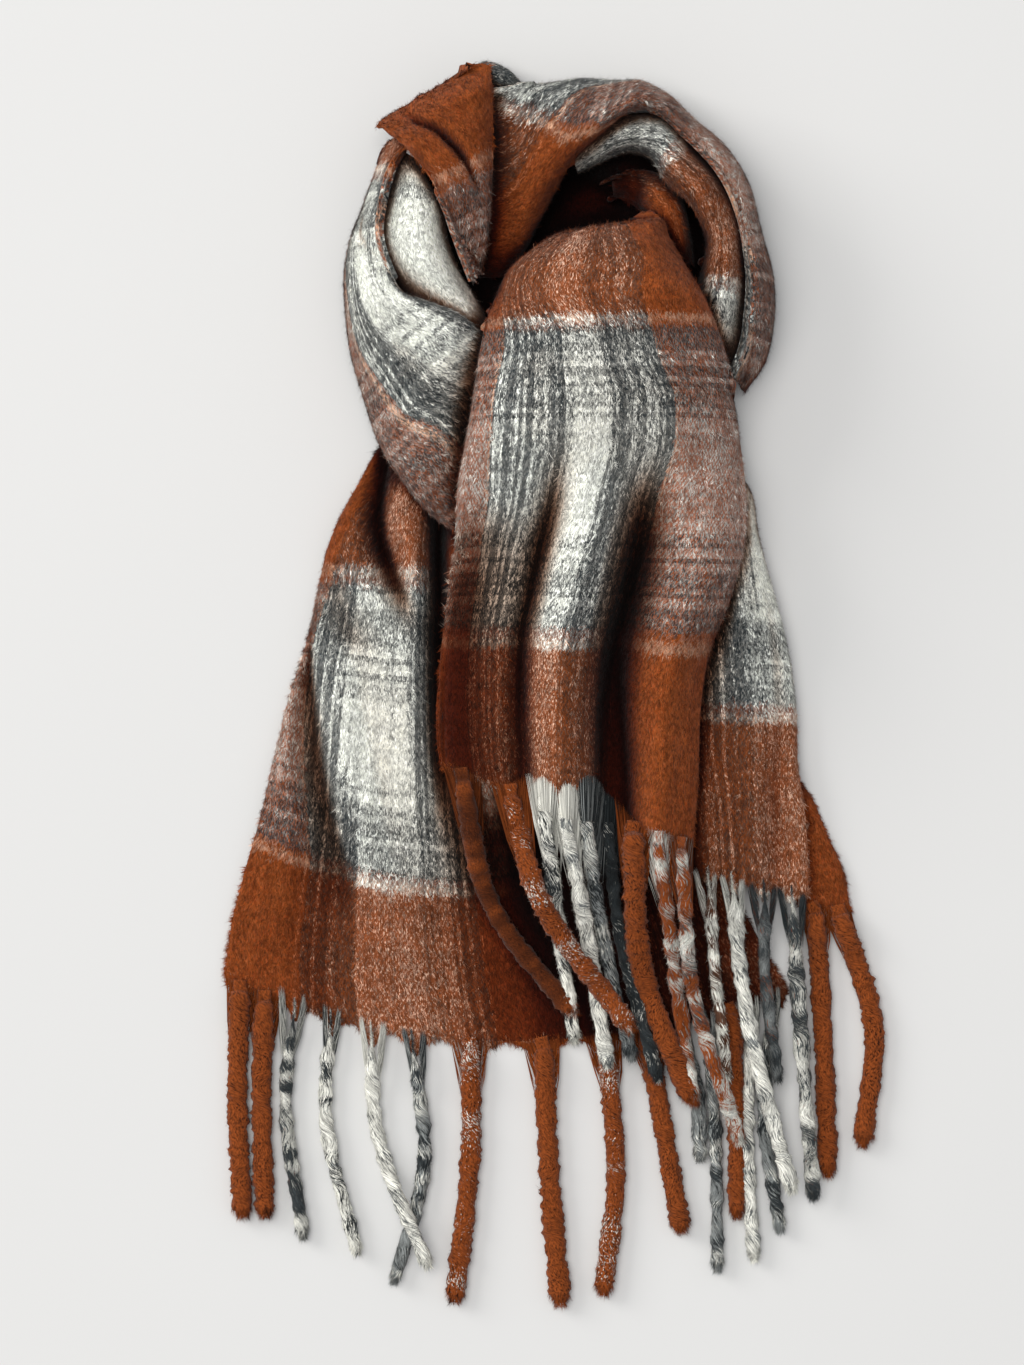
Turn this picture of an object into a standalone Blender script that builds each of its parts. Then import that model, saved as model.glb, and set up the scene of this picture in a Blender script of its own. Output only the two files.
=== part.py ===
"""A blanket scarf tied in a loop and laid flat, built as the stretches of cloth that show.

Every stretch is one closed wall of brushed wool cloth. It is worked out from a short table of
sections: where its two edges run, how high they lie, and how far the cloth rises between them.
Creases are rows of their own. The stretches are laid one on another from the bottom up, each one
resting on a height map of what is already there. The fringe is made of strands that grow out of
a narrow strip just beyond each hem.

Tables are in millimetres, with +X across the scarf, +Y towards the loop and +Z up.
"""

import math
from collections import namedtuple

import bmesh
import bpy
import numpy as np

MM = 0.001

CLOTH_WALL = 3.0          # thickness of the brushed cloth
SEAT_GAP = 0.35           # air between two pieces that lie on each other
FLOOR_CLEARANCE = 0.8     # how far fringe strands stay above the surface
HEM_STRIP = 6.0           # depth of the strip that the fringe grows from
STRAND_HEIGHT = 9.0       # a strand flattens a little as it lies
STRAND_SLOPE = 0.5        # how steeply a strand runs down from what it lies on
ORIGIN_SHIFT = (-2.78, 2.74)  # centres the whole scarf on the origin

# One section across a stretch: left edge, right edge, their heights, the rise between them, and
# how far the middle bows towards the far end.
Section = namedtuple("Section", "left_x left_y left_z right_x right_y right_z rise bow", defaults=[0])

# A crease runs between two places given as (across -1..1, along 0..1); depth < 0 is a trough.
Crease = namedtuple("Crease", "across_start along_start across_end along_end depth width")

# A fringe strand: where it leaves the hem (0..1), two points on its way, its tip, its layer.
Strand = namedtuple("Strand", "root mid_x mid_y tip_x tip_y width layer")

RUST = (0.352, 0.084, 0.017)
CREAM = (0.752, 0.745, 0.680)
GREY = (0.110, 0.130, 0.145)
MAUVE = (0.330, 0.190, 0.150)


# ---------------------------------------------------------------- the surface underneath

class Pile:
    """Height map of everything that has been laid so far, on a 1 mm grid."""

    def __init__(self, low=(-230.0, -400.0), high=(230.0, 400.0)):
        self.low = np.array(low)
        self.shape = (int(high[0] - low[0]) + 1, int(high[1] - low[1]) + 1)
        self.top = np.zeros(self.shape)

    def add_grid(self, grid):
        """Raise the map to the triangles of a grid of points."""
        p00 = grid[:-1, :-1]
        p10 = grid[1:, :-1]
        p01 = grid[:-1, 1:]
        p11 = grid[1:, 1:]
        step = max(np.abs(p10 - p00).max(), np.abs(p01 - p00).max())
        count = int(math.ceil(step / 0.7)) + 1
        for s in np.linspace(0.0, 1.0, count):
            for t in np.linspace(0.0, 1.0, count):
                if s >= t:
                    point = p00 + s * (p10 - p00) + t * (p11 - p10)
                else:
                    point = p00 + t * (p01 - p00) + s * (p11 - p01)
                self.add_points(point.reshape(-1, 3))

    def add_points(self, points):
        """Raise the map to single points."""
        cell = np.rint(points[:, :2] - self.low).astype(int)
        cell = np.clip(cell, 0, np.array(self.shape) - 1)
        np.maximum.at(self.top, (cell[:, 0], cell[:, 1]), points[:, 2])

    def rest_height(self, xy, reach):
        """Highest point within reach of each place, plus the seat gap where there is cloth."""
        spread = self.top.copy()
        steps = int(math.ceil(reach))
        for dx in range(-steps, steps + 1):
            for dy in range(-steps, steps + 1):
                if dx * dx + dy * dy <= reach * reach:
                    moved = np.roll(self.top, (dx, dy), axis=(0, 1))
                    np.maximum(spread, moved, out=spread)
        place = np.clip(xy - self.low, 0.0, np.array(self.shape) - 1.001)
        cell = np.floor(place).astype(int)
        part = place - cell
        i, j = cell[..., 0], cell[..., 1]
        corners = np.stack([spread[i, j], spread[i + 1, j], spread[i, j + 1], spread[i + 1, j + 1]])
        highest = corners.max(axis=0)
        weights = np.stack([
            (1 - part[..., 0]) * (1 - part[..., 1]),
            part[..., 0] * (1 - part[..., 1]),
            (1 - part[..., 0]) * part[..., 1],
            part[..., 0] * part[..., 1],
        ])
        smooth = (corners * weights).sum(axis=0)
        height = np.maximum(smooth, highest - 1.0)
        return np.where(height > 0.05, height + SEAT_GAP, 0.0)


# ---------------------------------------------------------------- curves and walls

def through(values, places, samples):
    """Catmull-Rom curve through rows of values at given places, read at the samples."""
    values = np.asarray(values, float)
    places = np.asarray(places, float)
    slopes = np.gradient(values, places, axis=0)
    index = np.clip(np.searchsorted(places, samples, side="right") - 1, 0, len(places) - 2)
    span = (places[index + 1] - places[index])[:, None]
    t = ((samples - places[index])[:, None]) / span
    a, b = values[index], values[index + 1]
    ma, mb = slopes[index] * span, slopes[index + 1] * span
    t2, t3 = t * t, t * t * t
    return (2 * t3 - 3 * t2 + 1) * a + (t3 - 2 * t2 + t) * ma + (3 * t2 - 2 * t3) * b + (t3 - t2) * mb


def even_steps(points, count):
    """Points at equal distances along a polyline."""
    length = np.concatenate([[0.0], np.cumsum(np.linalg.norm(np.diff(points, axis=0), axis=1))])
    wanted = np.linspace(0.0, length[-1], count)
    return np.stack([np.interp(wanted, length, points[:, k]) for k in range(3)], axis=1)


def smooth_step(low, high, value):
    t = np.clip((value - low) / (high - low), 0.0, 1.0)
    return t * t * (3 - 2 * t)


def crease_depth(across, along, creases):
    """Sum of all creases at each place; across runs -1..1 and along 0..1."""
    depth = np.zeros_like(across)
    for crease in creases:
        length = crease.along_end - crease.along_start
        t = (along - crease.along_start) / length
        centre = crease.across_start + (crease.across_end - crease.across_start) * np.clip(t, 0, 1)
        fade = smooth_step(-0.05, 0.35, t)
        if crease.along_end < 1.0:
            fade = fade * (1 - smooth_step(0.65, 1.05, t))
        depth += crease.depth * fade * np.exp(-((across - centre) / crease.width) ** 2)
    return depth


def grid_normals(grid):
    """Unit normals of a grid of points, turned upwards."""
    along = np.gradient(grid, axis=0)
    across = np.gradient(grid, axis=1)
    normal = np.cross(across, along)
    normal /= np.maximum(np.linalg.norm(normal, axis=2, keepdims=True), 1e-9)
    middle = normal[:, normal.shape[1] // 2, 2].mean()
    return normal if middle > 0 else -normal


def stretch_grids(sections, creases, pile, size, fullness, reach):
    """Outer and inner point grids of one stretch of cloth, laid on the pile."""
    across_count, along_count = size
    rows = np.array(sections, float)
    middle = (rows[:, 0:2] + rows[:, 3:5]) / 2
    places = np.concatenate([[0.0], np.cumsum(np.linalg.norm(np.diff(middle, axis=0), axis=1))])
    samples = np.linspace(0.0, places[-1], along_count + 1)
    rows = through(rows, places, samples)
    angle = np.linspace(-math.pi / 2, math.pi / 2, 161)
    sideways = np.sign(np.sin(angle)) * np.abs(np.sin(angle)) ** (2 / fullness)
    upwards = np.abs(np.cos(angle)) ** (2 / fullness)
    t = (1 + sideways)[:, None] / 2
    grid = np.zeros((along_count + 1, across_count + 1, 3))
    for number, row in enumerate(rows):
        curve = (1 - t) * row[0:3] + t * row[3:6]
        curve[:, 2] += row[6] * upwards
        chord = (row[3:5] - row[0:2]) / np.linalg.norm(row[3:5] - row[0:2])
        curve[:, 0] += row[7] * (1 - sideways ** 2) * chord[1]
        curve[:, 1] -= row[7] * (1 - sideways ** 2) * chord[0]
        grid[number] = even_steps(curve, across_count + 1)
    across, along = np.meshgrid(np.linspace(-1, 1, across_count + 1), samples / places[-1])
    grid += grid_normals(grid) * crease_depth(across, along, creases)[..., None]
    support = pile.rest_height(grid[..., :2], reach)
    grid[..., 2] = np.maximum(grid[..., 2], support + CLOTH_WALL)
    inner = grid - grid_normals(grid) * CLOTH_WALL
    support = pile.rest_height(inner[..., :2], reach)
    inner[..., 2] = np.maximum(inner[..., 2], support)
    lies = inner[..., 2] < support + CLOTH_WALL * 1.2
    lies[:, 1:-1] = False
    inner[..., 2] = np.where(lies, support, inner[..., 2])
    grid[..., 2] = np.maximum(grid[..., 2], inner[..., 2] + CLOTH_WALL * 0.6)
    return grid, inner


def make_object(name, vertices, faces, colour, roughness=0.95):
    """A named object from points in millimetres, moved to the scarf's own origin."""
    mesh = bpy.data.meshes.new(name)
    shift = np.array([ORIGIN_SHIFT[0], ORIGIN_SHIFT[1], 0.0])
    mesh.from_pydata(((np.asarray(vertices) + shift) * MM).tolist(), [], faces)
    work = bmesh.new()
    work.from_mesh(mesh)
    bmesh.ops.triangulate(work, faces=[f for f in work.faces if len(f.verts) > 3])
    bmesh.ops.recalc_face_normals(work, faces=work.faces)
    work.to_mesh(mesh)
    work.free()
    mesh.shade_smooth()
    made = bpy.data.objects.new(name, mesh)
    bpy.context.scene.collection.objects.link(made)
    mesh.materials.append(wool(name, colour, roughness))
    return made


def wool(name, colour, roughness):
    """Brushed wool: one plain colour for the solid."""
    material = bpy.data.materials.new(name + "_wool")
    material.use_nodes = True
    shader = material.node_tree.nodes["Principled BSDF"]
    shader.inputs["Base Color"].default_value = (*colour, 1.0)
    shader.inputs["Roughness"].default_value = roughness
    shader.inputs["Metallic"].default_value = 0.0
    return material


def wall_object(name, outer, inner, colour):
    """Close an outer and an inner grid into one wall."""
    rows, columns = outer.shape[:2]
    vertices = np.concatenate([outer.reshape(-1, 3), inner.reshape(-1, 3)])
    below = rows * columns
    faces = []
    for r in range(rows - 1):
        for c in range(columns - 1):
            a = r * columns + c
            b = a + 1
            d = a + columns
            e = d + 1
            faces += [(a, d, e), (a, e, b)]
            faces += [(a + below, e + below, d + below), (a + below, b + below, e + below)]
    rim = [c for c in range(columns)]
    rim += [r * columns + columns - 1 for r in range(1, rows)]
    rim += [(rows - 1) * columns + c for c in range(columns - 2, -1, -1)]
    rim += [r * columns for r in range(rows - 2, 0, -1)]
    for number, a in enumerate(rim):
        b = rim[(number + 1) % len(rim)]
        faces += [(a, b, b + below), (a, b + below, a + below)]
    return make_object(name, vertices, faces, colour)


# ---------------------------------------------------------------- hidden layers

CORE_CENTRE = (12.0, 276.0)       # bottom of the neck hole
CORE_OUTLINE_CENTRE = (4.0, 248.0)
CORE_OUTLINE = (101.0, 76.0)       # half width and half depth of the heap
CORE_TOP = 22.0
CORE_HOLE_FLOOR = 6.0
CORE_RINGS = 8
CORE_SPOKES = 24


def hidden_layers(pile):
    """The folded layers inside the loop as one rounded solid, dished under the neck hole."""
    vertices = [(*CORE_CENTRE, CORE_HOLE_FLOOR)]
    grid = np.zeros((CORE_RINGS + 1, CORE_SPOKES + 1, 3))
    for ring in range(CORE_RINGS + 1):
        out = ring / CORE_RINGS
        rise = smooth_step(0.25, 0.6, out)
        shoulder = math.sqrt(max(0.0, 1 - smooth_step(0.7, 1.0, out) ** 2 * 0.9))
        height = (CORE_HOLE_FLOOR + (CORE_TOP - CORE_HOLE_FLOOR) * rise) * shoulder
        for spoke in range(CORE_SPOKES + 1):
            angle = 2 * math.pi * spoke / CORE_SPOKES
            edge_x = CORE_OUTLINE_CENTRE[0] + CORE_OUTLINE[0] * math.cos(angle)
            edge_y = CORE_OUTLINE_CENTRE[1] + CORE_OUTLINE[1] * math.sin(angle)
            grid[ring, spoke] = (
                CORE_CENTRE[0] + (edge_x - CORE_CENTRE[0]) * out,
                CORE_CENTRE[1] + (edge_y - CORE_CENTRE[1]) * out,
                height,
            )
    pile.add_grid(grid)
    for ring in range(1, CORE_RINGS + 1):
        vertices += [tuple(p) for p in grid[ring, :CORE_SPOKES]]
    base = len(vertices)
    vertices += [(p[0], p[1], 0.0) for p in grid[CORE_RINGS, :CORE_SPOKES]]
    faces = []
    for spoke in range(CORE_SPOKES):
        after = (spoke + 1) % CORE_SPOKES
        faces.append((0, 1 + spoke, 1 + after))
        for ring in range(CORE_RINGS - 1):
            a = 1 + ring * CORE_SPOKES
            faces.append((a + spoke, a + CORE_SPOKES + spoke, a + CORE_SPOKES + after))
            faces.append((a + spoke, a + CORE_SPOKES + after, a + after))
        last = 1 + (CORE_RINGS - 1) * CORE_SPOKES
        faces.append((last + spoke, base + spoke, base + after, last + after))
    faces.append(tuple(base + spoke for spoke in reversed(range(CORE_SPOKES))))
    return make_object("loop_core", vertices, faces, RUST)


# ---------------------------------------------------------------- the fringe

def strand_rings(start, strand, pile, stations):
    """Centres along a strand, lying on the pile, and its height at each."""
    way = np.array([start[:2], (strand.mid_x, strand.mid_y), (strand.tip_x, strand.tip_y)])
    places = np.concatenate([[0.0], np.cumsum(np.linalg.norm(np.diff(way, axis=0), axis=1))])
    between = 6
    samples = np.linspace(0.0, places[-1], (stations - 1) * between + 1)
    plan = through(way, places, samples)
    reach = strand.width / 2 + 1.5
    lying = pile.rest_height(plan, reach) + STRAND_HEIGHT / 2
    lying = np.maximum(lying, FLOOR_CLEARANCE + STRAND_HEIGHT / 2)
    apart = np.abs(samples[:, None] - samples[None, :])
    near = np.maximum(apart - places[-1] / (stations - 1), 0.0)
    lying = (lying[None, :] - STRAND_SLOPE * near).max(axis=1)
    lying = np.maximum(lying, start[2] - STRAND_SLOPE * samples)
    return np.column_stack([plan, lying])[::between]


def fringe(name, outer_hem, inner_hem, inward, strands, pile, colour, stations=9):
    """A strip beyond the hem with strands growing out of its front, as one closed solid."""
    hem_places = np.concatenate([
        [0.0], np.cumsum(np.linalg.norm(np.diff(outer_hem[:, :2], axis=0), axis=1))])
    total = hem_places[-1]

    def hem_point(fraction):
        """Top and bottom of the hem, and the direction out of it, at a fraction of its length."""
        place = fraction * total
        top = np.array([np.interp(place, hem_places, outer_hem[:, k]) for k in range(3)])
        low = np.array([np.interp(place, hem_places, inner_hem[:, k]) for k in range(3)])
        back = np.array([np.interp(place, hem_places, inward[:, k]) for k in range(2)])
        outwards = top[:2] - back
        return top, low, outwards / np.linalg.norm(outwards)

    roots = [(strand.root - strand.width / 2 / total, strand.root + strand.width / 2 / total)
             for strand in strands]
    clear = 1.5 / total
    edges = [end for root in roots for end in root]
    for fraction in hem_places / total:
        inside = any(start - clear < fraction < end + clear for start, end in roots)
        if edges[0] - clear < fraction < edges[-1] + clear and not inside:
            edges.append(float(fraction))
    edges.sort()
    root_number = {edges.index(start): index for index, (start, end) in enumerate(roots)}
    vertices = []
    for fraction in edges:
        top, low, outwards = hem_point(fraction)
        lowest_gap = float(np.dot(low[:2] - top[:2], outwards))
        start = max(0.0, lowest_gap) + SEAT_GAP
        for distance in (start, start + HEM_STRIP):
            place = top[:2] + outwards * distance
            floor = float(pile.rest_height(place[None, :], 3.0)[0])
            bottom = max(low[2], floor, FLOOR_CLEARANCE)
            height = max(top[2] - bottom, CLOTH_WALL)
            vertices += [(*place, bottom), (*place, bottom + height)]
    faces = [(0, 2, 3, 1)]
    last = 4 * (len(edges) - 1)
    faces.append((last, last + 1, last + 3, last + 2))
    fronts = {}
    for number in range(len(edges) - 1):
        a, b = 4 * number, 4 * (number + 1)
        faces += [(a, b, b + 2, a + 2), (a + 1, a + 3, b + 3, b + 1), (a, a + 1, b + 1, b)]
        if number in root_number:
            fronts[root_number[number]] = (a + 2, b + 2, b + 3, a + 3)
        else:
            faces.append((a + 2, b + 2, b + 3, a + 3))
    points = np.array(vertices)
    pile.add_grid(np.array([points[1::4], points[3::4]]))
    for layer in sorted({strand.layer for strand in strands}):
        laid = []
        for index, strand in enumerate(strands):
            if strand.layer != layer:
                continue
            front = fronts[index]
            start = np.mean([vertices[v] for v in front], axis=0)
            centres = strand_rings(start, strand, pile, stations)
            ring = front
            side = np.array(vertices[front[1]])[:2] - np.array(vertices[front[0]])[:2]
            for station in range(1, stations):
                ahead = centres[min(station + 1, stations - 1)] - centres[station - 1]
                normal = np.array([-ahead[1], ahead[0]]) / np.linalg.norm(ahead[:2])
                if np.dot(normal, side) < 0:
                    normal = -normal
                side = normal
                half = strand.width / 2 * (0.8 if station == stations - 1 else 1.0)
                tall = STRAND_HEIGHT / 2
                x, y, z = centres[station]
                count = len(vertices)
                vertices += [
                    (x - normal[0] * half, y - normal[1] * half, z - tall),
                    (x + normal[0] * half, y + normal[1] * half, z - tall),
                    (x + normal[0] * half * 0.75, y + normal[1] * half * 0.75, z + tall),
                    (x - normal[0] * half * 0.75, y - normal[1] * half * 0.75, z + tall),
                ]
                fresh = (count, count + 1, count + 2, count + 3)
                for k in range(4):
                    n = (k + 1) % 4
                    faces.append((ring[k], ring[n], fresh[n], fresh[k]))
                ring = fresh
            faces.append(ring)
            laid.append(np.array([
                [np.array(vertices[front[3]])] + [vertices[i + 3] for i in range(count - 4 * (stations - 2), count + 1, 4)],
                [np.array(vertices[front[2]])] + [vertices[i + 2] for i in range(count - 4 * (stations - 2), count + 1, 4)],
            ]))
        for strip in laid:
            pile.add_grid(strip)
    return make_object(name, vertices, faces, colour)


# ---------------------------------------------------------------- the tables

THROAT_ROLL = [
    Section(31, 270, 10, 27, 294, 10, 24),
    Section(40, 269, 10, 38, 296, 10, 32),
    Section(51, 266, 10, 54, 294, 10, 36),
    Section(60, 258, 10, 74, 278, 10, 38),
    Section(64, 248, 10, 80, 254, 10, 36),
    Section(67, 234, 8, 82, 238, 8, 32),
]
RIGHT_INNER = [
    Section(16, 290, 14, 9, 302, 20, 22),
    Section(29, 296, 14, 23, 311, 22, 30),
    Section(44, 301, 14, 41, 322, 24, 38),
    Section(56, 297, 14, 64, 322, 22, 44),
    Section(65, 282, 14, 85, 303, 20, 48),
    Section(80, 268, 14, 102, 281, 16, 50),
    Section(89, 250, 12, 110, 257, 12, 52),
    Section(86, 234, 6, 113, 234, 6, 58),
    Section(82, 216, 0, 113, 211, 0, 62),
    Section(82, 198, 0, 110, 192, 0, 56),
    Section(84, 180, 0, 103, 172, 0, 36),
]
FLAP_BEHIND = [
    Section(-58, 334, 0, -52, 346, 0, 24),
    Section(-42, 338, 0, -37, 356, 0, 34),
    Section(-29, 338, 0, -23, 350, 0, 36),
    Section(-19, 333, 0, -15, 342, 0, 24),
]
LOOP_BACK = [
    Section(-40, 230, 10, -46, 329, 0, 24),
    Section(-30, 230, 8, -36, 334, 0, 34),
    Section(-20, 237, 8, -22, 338, 0, 44),
    Section(-7, 261, 8, -6, 343, 0, 53),
    Section(2, 278, 10, 7, 345, 0, 58),
    Section(11, 293, 14, 20, 346, 0, 60),
    Section(27, 307, 20, 37, 345, 0, 60),
    Section(45, 320, 26, 54, 344, 0, 54),
    Section(58, 321, 30, 67, 337, 0, 48),
    Section(74, 309, 28, 81, 324, 0, 46),
    Section(90, 294, 26, 101, 307, 0, 46),
    Section(102, 275, 24, 114, 286, 0, 44),
    Section(109, 251, 18, 122, 257, 0, 44),
    Section(113, 227, 12, 129, 228, 0, 46),
    Section(112, 205, 6, 129, 205, 0, 44),
    Section(109, 188, 2, 124, 183, 0, 36),
    Section(103, 173, 0, 113, 166, 0, 22),
]
LEFT_INNER = [
    Section(-87, 302, 8, -76, 296, 8, 36),
    Section(-91, 290, 8, -68, 282, 8, 48),
    Section(-97, 273, 6, -61, 269, 8, 60),
    Section(-101, 252, 6, -58, 249, 8, 66),
    Section(-99, 237, 6, -53, 235, 8, 66),
    Section(-91, 224, 10, -44, 220, 10, 60),
    Section(-81, 213, 16, -36, 205, 12, 50),
    Section(-70, 201, 20, -32, 193, 14, 36),
]
TOP_FLAP = [
    Section(-97, 318, 0, -36, 353, 0, 4),
    Section(-100, 320, 22, -38, 356, 18, 12),
    Section(-97, 315, 30, -34, 343, 14, 30),
    Section(-86, 304, 34, -33, 327, 10, 42),
    Section(-72, 288, 36, -33, 309, 8, 48),
    Section(-62, 271, 36, -33, 288, 8, 48),
    Section(-55, 254, 30, -34, 266, 8, 46),
    Section(-50, 240, 20, -36, 247, 8, 38),
    Section(-44, 225, 12, -40, 230, 8, 26),
]
TAIL_LEFT = [
    Section(-84, 167, 0, 8, 167, 0, 12),
    Section(-91, 148, 0, 6, 148, 0, 16),
    Section(-100, 134, 0, 6, 133, 0, 18),
    Section(-111, 113, 0, 9, 112, 0, 22),
    Section(-123, 91, 0, 14, 90, 0, 26),
    Section(-131, 68, 0, 23, 67, 0, 28, 2),
    Section(-137, 45, 0, 32, 43, 0, 28, 5),
    Section(-145, 16, 0, 42, 14, 0, 26, 9),
    Section(-152, -13, 0, 53, -14, 0, 24, 14),
    Section(-159, -42, 0, 65, -43, 0, 22, 20),
    Section(-167, -77, 0, 81, -77, 0, 18, 27),
    Section(-177, -112, 0, 100, -111, 0, 14, 32),
    Section(-184, -141, 0, 117, -143, 0, 10, 34),
    Section(-188, -172, 0, 136, -177, 0, 6, 36),
]
LEFT_FRONT = [
    Section(-66, 326, 0, -62, 312, 4, 24),
    Section(-80, 320, 0, -74, 308, 6, 26),
    Section(-91, 311, 0, -85, 303, 6, 28),
    Section(-99, 294, 0, -94, 290, 6, 32),
    Section(-108, 273, 0, -102, 271, 6, 38),
    Section(-116, 252, 0, -104, 251, 4, 46),
    Section(-119, 232, 0, -98, 233, 4, 58),
    Section(-118, 212, 0, -87, 217, 10, 68),
    Section(-115, 188, 0, -72, 213, 16, 67),
    Section(-108, 163, 4, -53, 206, 18, 63),
    Section(-99, 137, 8, -36, 193, 16, 58),
    Section(-85, 113, 10, -20, 172, 12, 50),
    Section(-66, 92, 10, -10, 146, 6, 38),
    Section(-48, 80, 8, -4, 124, 2, 26),
]
FRONT_SELVEDGE = [
    Section(128, -46, 0, 139, -50, 0, 3),
    Section(135, -70, 0, 152, -70, 0, 7),
    Section(136, -93, 0, 161, -92, 0, 7),
    Section(138, -117, 0, 171, -115, 0, 7),
    Section(144, -130, 0, 174, -133, 0, 6),
]
FRONT_UNDERFOLD = [
    Section(78, 160, 0, 96, 156, 0, 12),
    Section(81, 131, 0, 107, 123, 0, 20),
    Section(82, 109, 0, 116, 107, 0, 28),
    Section(81, 86, 0, 120, 84, 0, 30),
    Section(79, 63, 0, 126, 61, 0, 31),
    Section(76, 39, 0, 133, 36, 0, 31),
    Section(75, 11, 0, 139, 9, 0, 30),
    Section(75, -18, 0, 142, -20, 0, 28),
    Section(75, -48, 0, 143, -50, 0, 25),
    Section(75, -77, 0, 147, -80, 0, 21),
    Section(78, -109, 0, 149, -124, 0, 17),
]
TAIL_FRONT = [
    Section(9, 267, 14, 58, 271, 14, 6),
    Section(-1, 254, 24, 64, 262, 24, 30),
    Section(-10, 245, 34, 67, 250, 30, 50),
    Section(-22, 235, 30, 75, 236, 26, 72),
    Section(-33, 214, 22, 86, 216, 22, 84),
    Section(-39, 189, 18, 96, 192, 20, 86),
    Section(-44, 158, 14, 105, 162, 14, 84),
    Section(-51, 119, 6, 111, 122, 6, 80),
    Section(-57, 86, 0, 112, 87, 2, 74),
    Section(-64, 53, 0, 105, 51, 4, 66),
    Section(-68, 22, 0, 92, 17, 6, 58),
    Section(-70, -9, 0, 86, -21, 6, 50),
    Section(-70, -33, 0, 85, -60, 6, 44),
    Section(-68, -51, 0, 82, -94, 4, 38),
]

FRINGE_LEFT = [
    Strand(0.030, -181, -241, -178, -310, 12.5, 0),
    Strand(0.075, -167, -241, -165, -310, 12.5, 0),
    Strand(0.130, -153, -238, -143, -322, 11.0, 0),
    Strand(0.195, -130, -250, -112, -331, 11.0, 0),
    Strand(0.268, -101, -257, -71, -338, 12.0, 1),
    Strand(0.340, -73, -282, -90, -348, 11.5, 0),
    Strand(0.440, -46, -273, -55, -359, 12.5, 0),
    Strand(0.565, 0, -291, 6, -361, 13.0, 0),
    Strand(0.672, 38, -290, 31, -355, 12.0, 0),
    Strand(0.745, 67, -268, 76, -319, 12.5, 0),
    Strand(0.805, 85, -238, 87, -277, 12.0, 0),
    Strand(0.853, 96, -274, 97, -341, 11.0, 0),
    Strand(0.895, 108, -256, 108, -310, 11.0, 0),
    Strand(0.935, 114, -262, 118, -335, 11.5, 0),
    Strand(0.975, 124, -250, 133, -318, 11.0, 0),
]
FRINGE_SELVEDGE = [
    Strand(0.26, 158, -205, 161, -286, 12.0, 0),
    Strand(0.76, 187, -200, 181, -269, 12.5, 0),
]
FRINGE_UNDERFOLD = [
    Strand(0.18, 96, -178, 102, -230, 10.0, 0),
    Strand(0.37, 113, -192, 139, -294, 13.0, 1),
    Strand(0.63, 124, -170, 131, -230, 10.5, 0),
    Strand(0.86, 145, -210, 152, -299, 12.5, 0),
]
FRINGE_FRONT = [
    Strand(0.075, -35, -128, 13, -193, 12.0, 0),
    Strand(0.270, -9, -119, 46, -201, 12.5, 1),
    Strand(0.365, -3, -128, 12, -209, 12.0, 0),
    Strand(0.445, 14, -128, 32, -222, 12.5, 0),
    Strand(0.530, 23, -134, 46, -218, 12.0, 0),
    Strand(0.625, 35, -146, 61, -230, 12.0, 0),
    Strand(0.760, 52, -163, 81, -242, 14.0, 0),
    Strand(0.860, 71, -163, 83, -244, 11.5, 0),
    Strand(0.950, 81, -175, 109, -266, 12.0, 1),
]

TAIL_LEFT_CREASES = [
    Crease(-0.83, 0.02, -0.55, 0.45, -16, 0.10),
    Crease(-0.25, 0.08, -0.12, 0.75, -18, 0.09),
    Crease(-0.95, 0.30, -0.42, 0.90, -4, 0.10),
    Crease(0.20, 0.50, 0.26, 1.02, -6, 0.10),
]
TAIL_FRONT_CREASES = [
    Crease(-0.62, 0.30, -0.28, 1.02, -24, 0.13),
    Crease(0.24, 0.45, 0.42, 1.02, -26, 0.11),
    Crease(-0.45, 0.12, -0.50, 0.50, -4, 0.16),
    Crease(0.72, 0.30, 0.80, 0.80, -5, 0.12),
]
UNDERFOLD_CREASES = [
    Crease(0.10, 0.05, 0.05, 1.02, 5, 0.16),
    Crease(0.55, 0.30, 0.50, 1.02, -6, 0.16),
]
TOP_FLAP_CREASES = [
    Crease(-0.55, 0.05, -0.15, 0.75, -12, 0.16),
]
LEFT_FRONT_CREASES = [
    Crease(0.05, 0.45, 0.10, 1.02, -3, 0.20),
]
RIGHT_INNER_CREASES = [
    Crease(0.00, 0.45, -0.30, 0.80, -5, 0.25),
]

# name, sections, creases, (points across, points along), fullness, reach, colour
STRETCHES = {
    "loop_throat_roll": (THROAT_ROLL, [], (8, 8), 2.2, 3, RUST),
    "loop_right_inner": (RIGHT_INNER, RIGHT_INNER_CREASES, (10, 18), 2.2, 4, MAUVE),
    "loop_flap_behind": (FLAP_BEHIND, [], (7, 5), 2.2, 3, GREY),
    "loop_back": (LOOP_BACK, [], (9, 25), 2.2, 5, MAUVE),
    "loop_left_inner": (LEFT_INNER, [], (10, 12), 2.2, 3, CREAM),
    "tail_left": (TAIL_LEFT, TAIL_LEFT_CREASES, (30, 16), 3.0, 3, CREAM),
    "loop_left_front": (LEFT_FRONT, LEFT_FRONT_CREASES, (12, 20), 2.3, 5, GREY),
    "loop_top_flap": (TOP_FLAP, TOP_FLAP_CREASES, (12, 12), 2.4, 6, RUST),
    "tail_front_selvedge": (FRONT_SELVEDGE, [], (5, 7), 3.0, 3, RUST),
    "tail_front_underfold": (FRONT_UNDERFOLD, UNDERFOLD_CREASES, (10, 20), 2.6, 8, GREY),
    "tail_front": (TAIL_FRONT, TAIL_FRONT_CREASES, (26, 24), 2.5, 5, CREAM),
}

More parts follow.
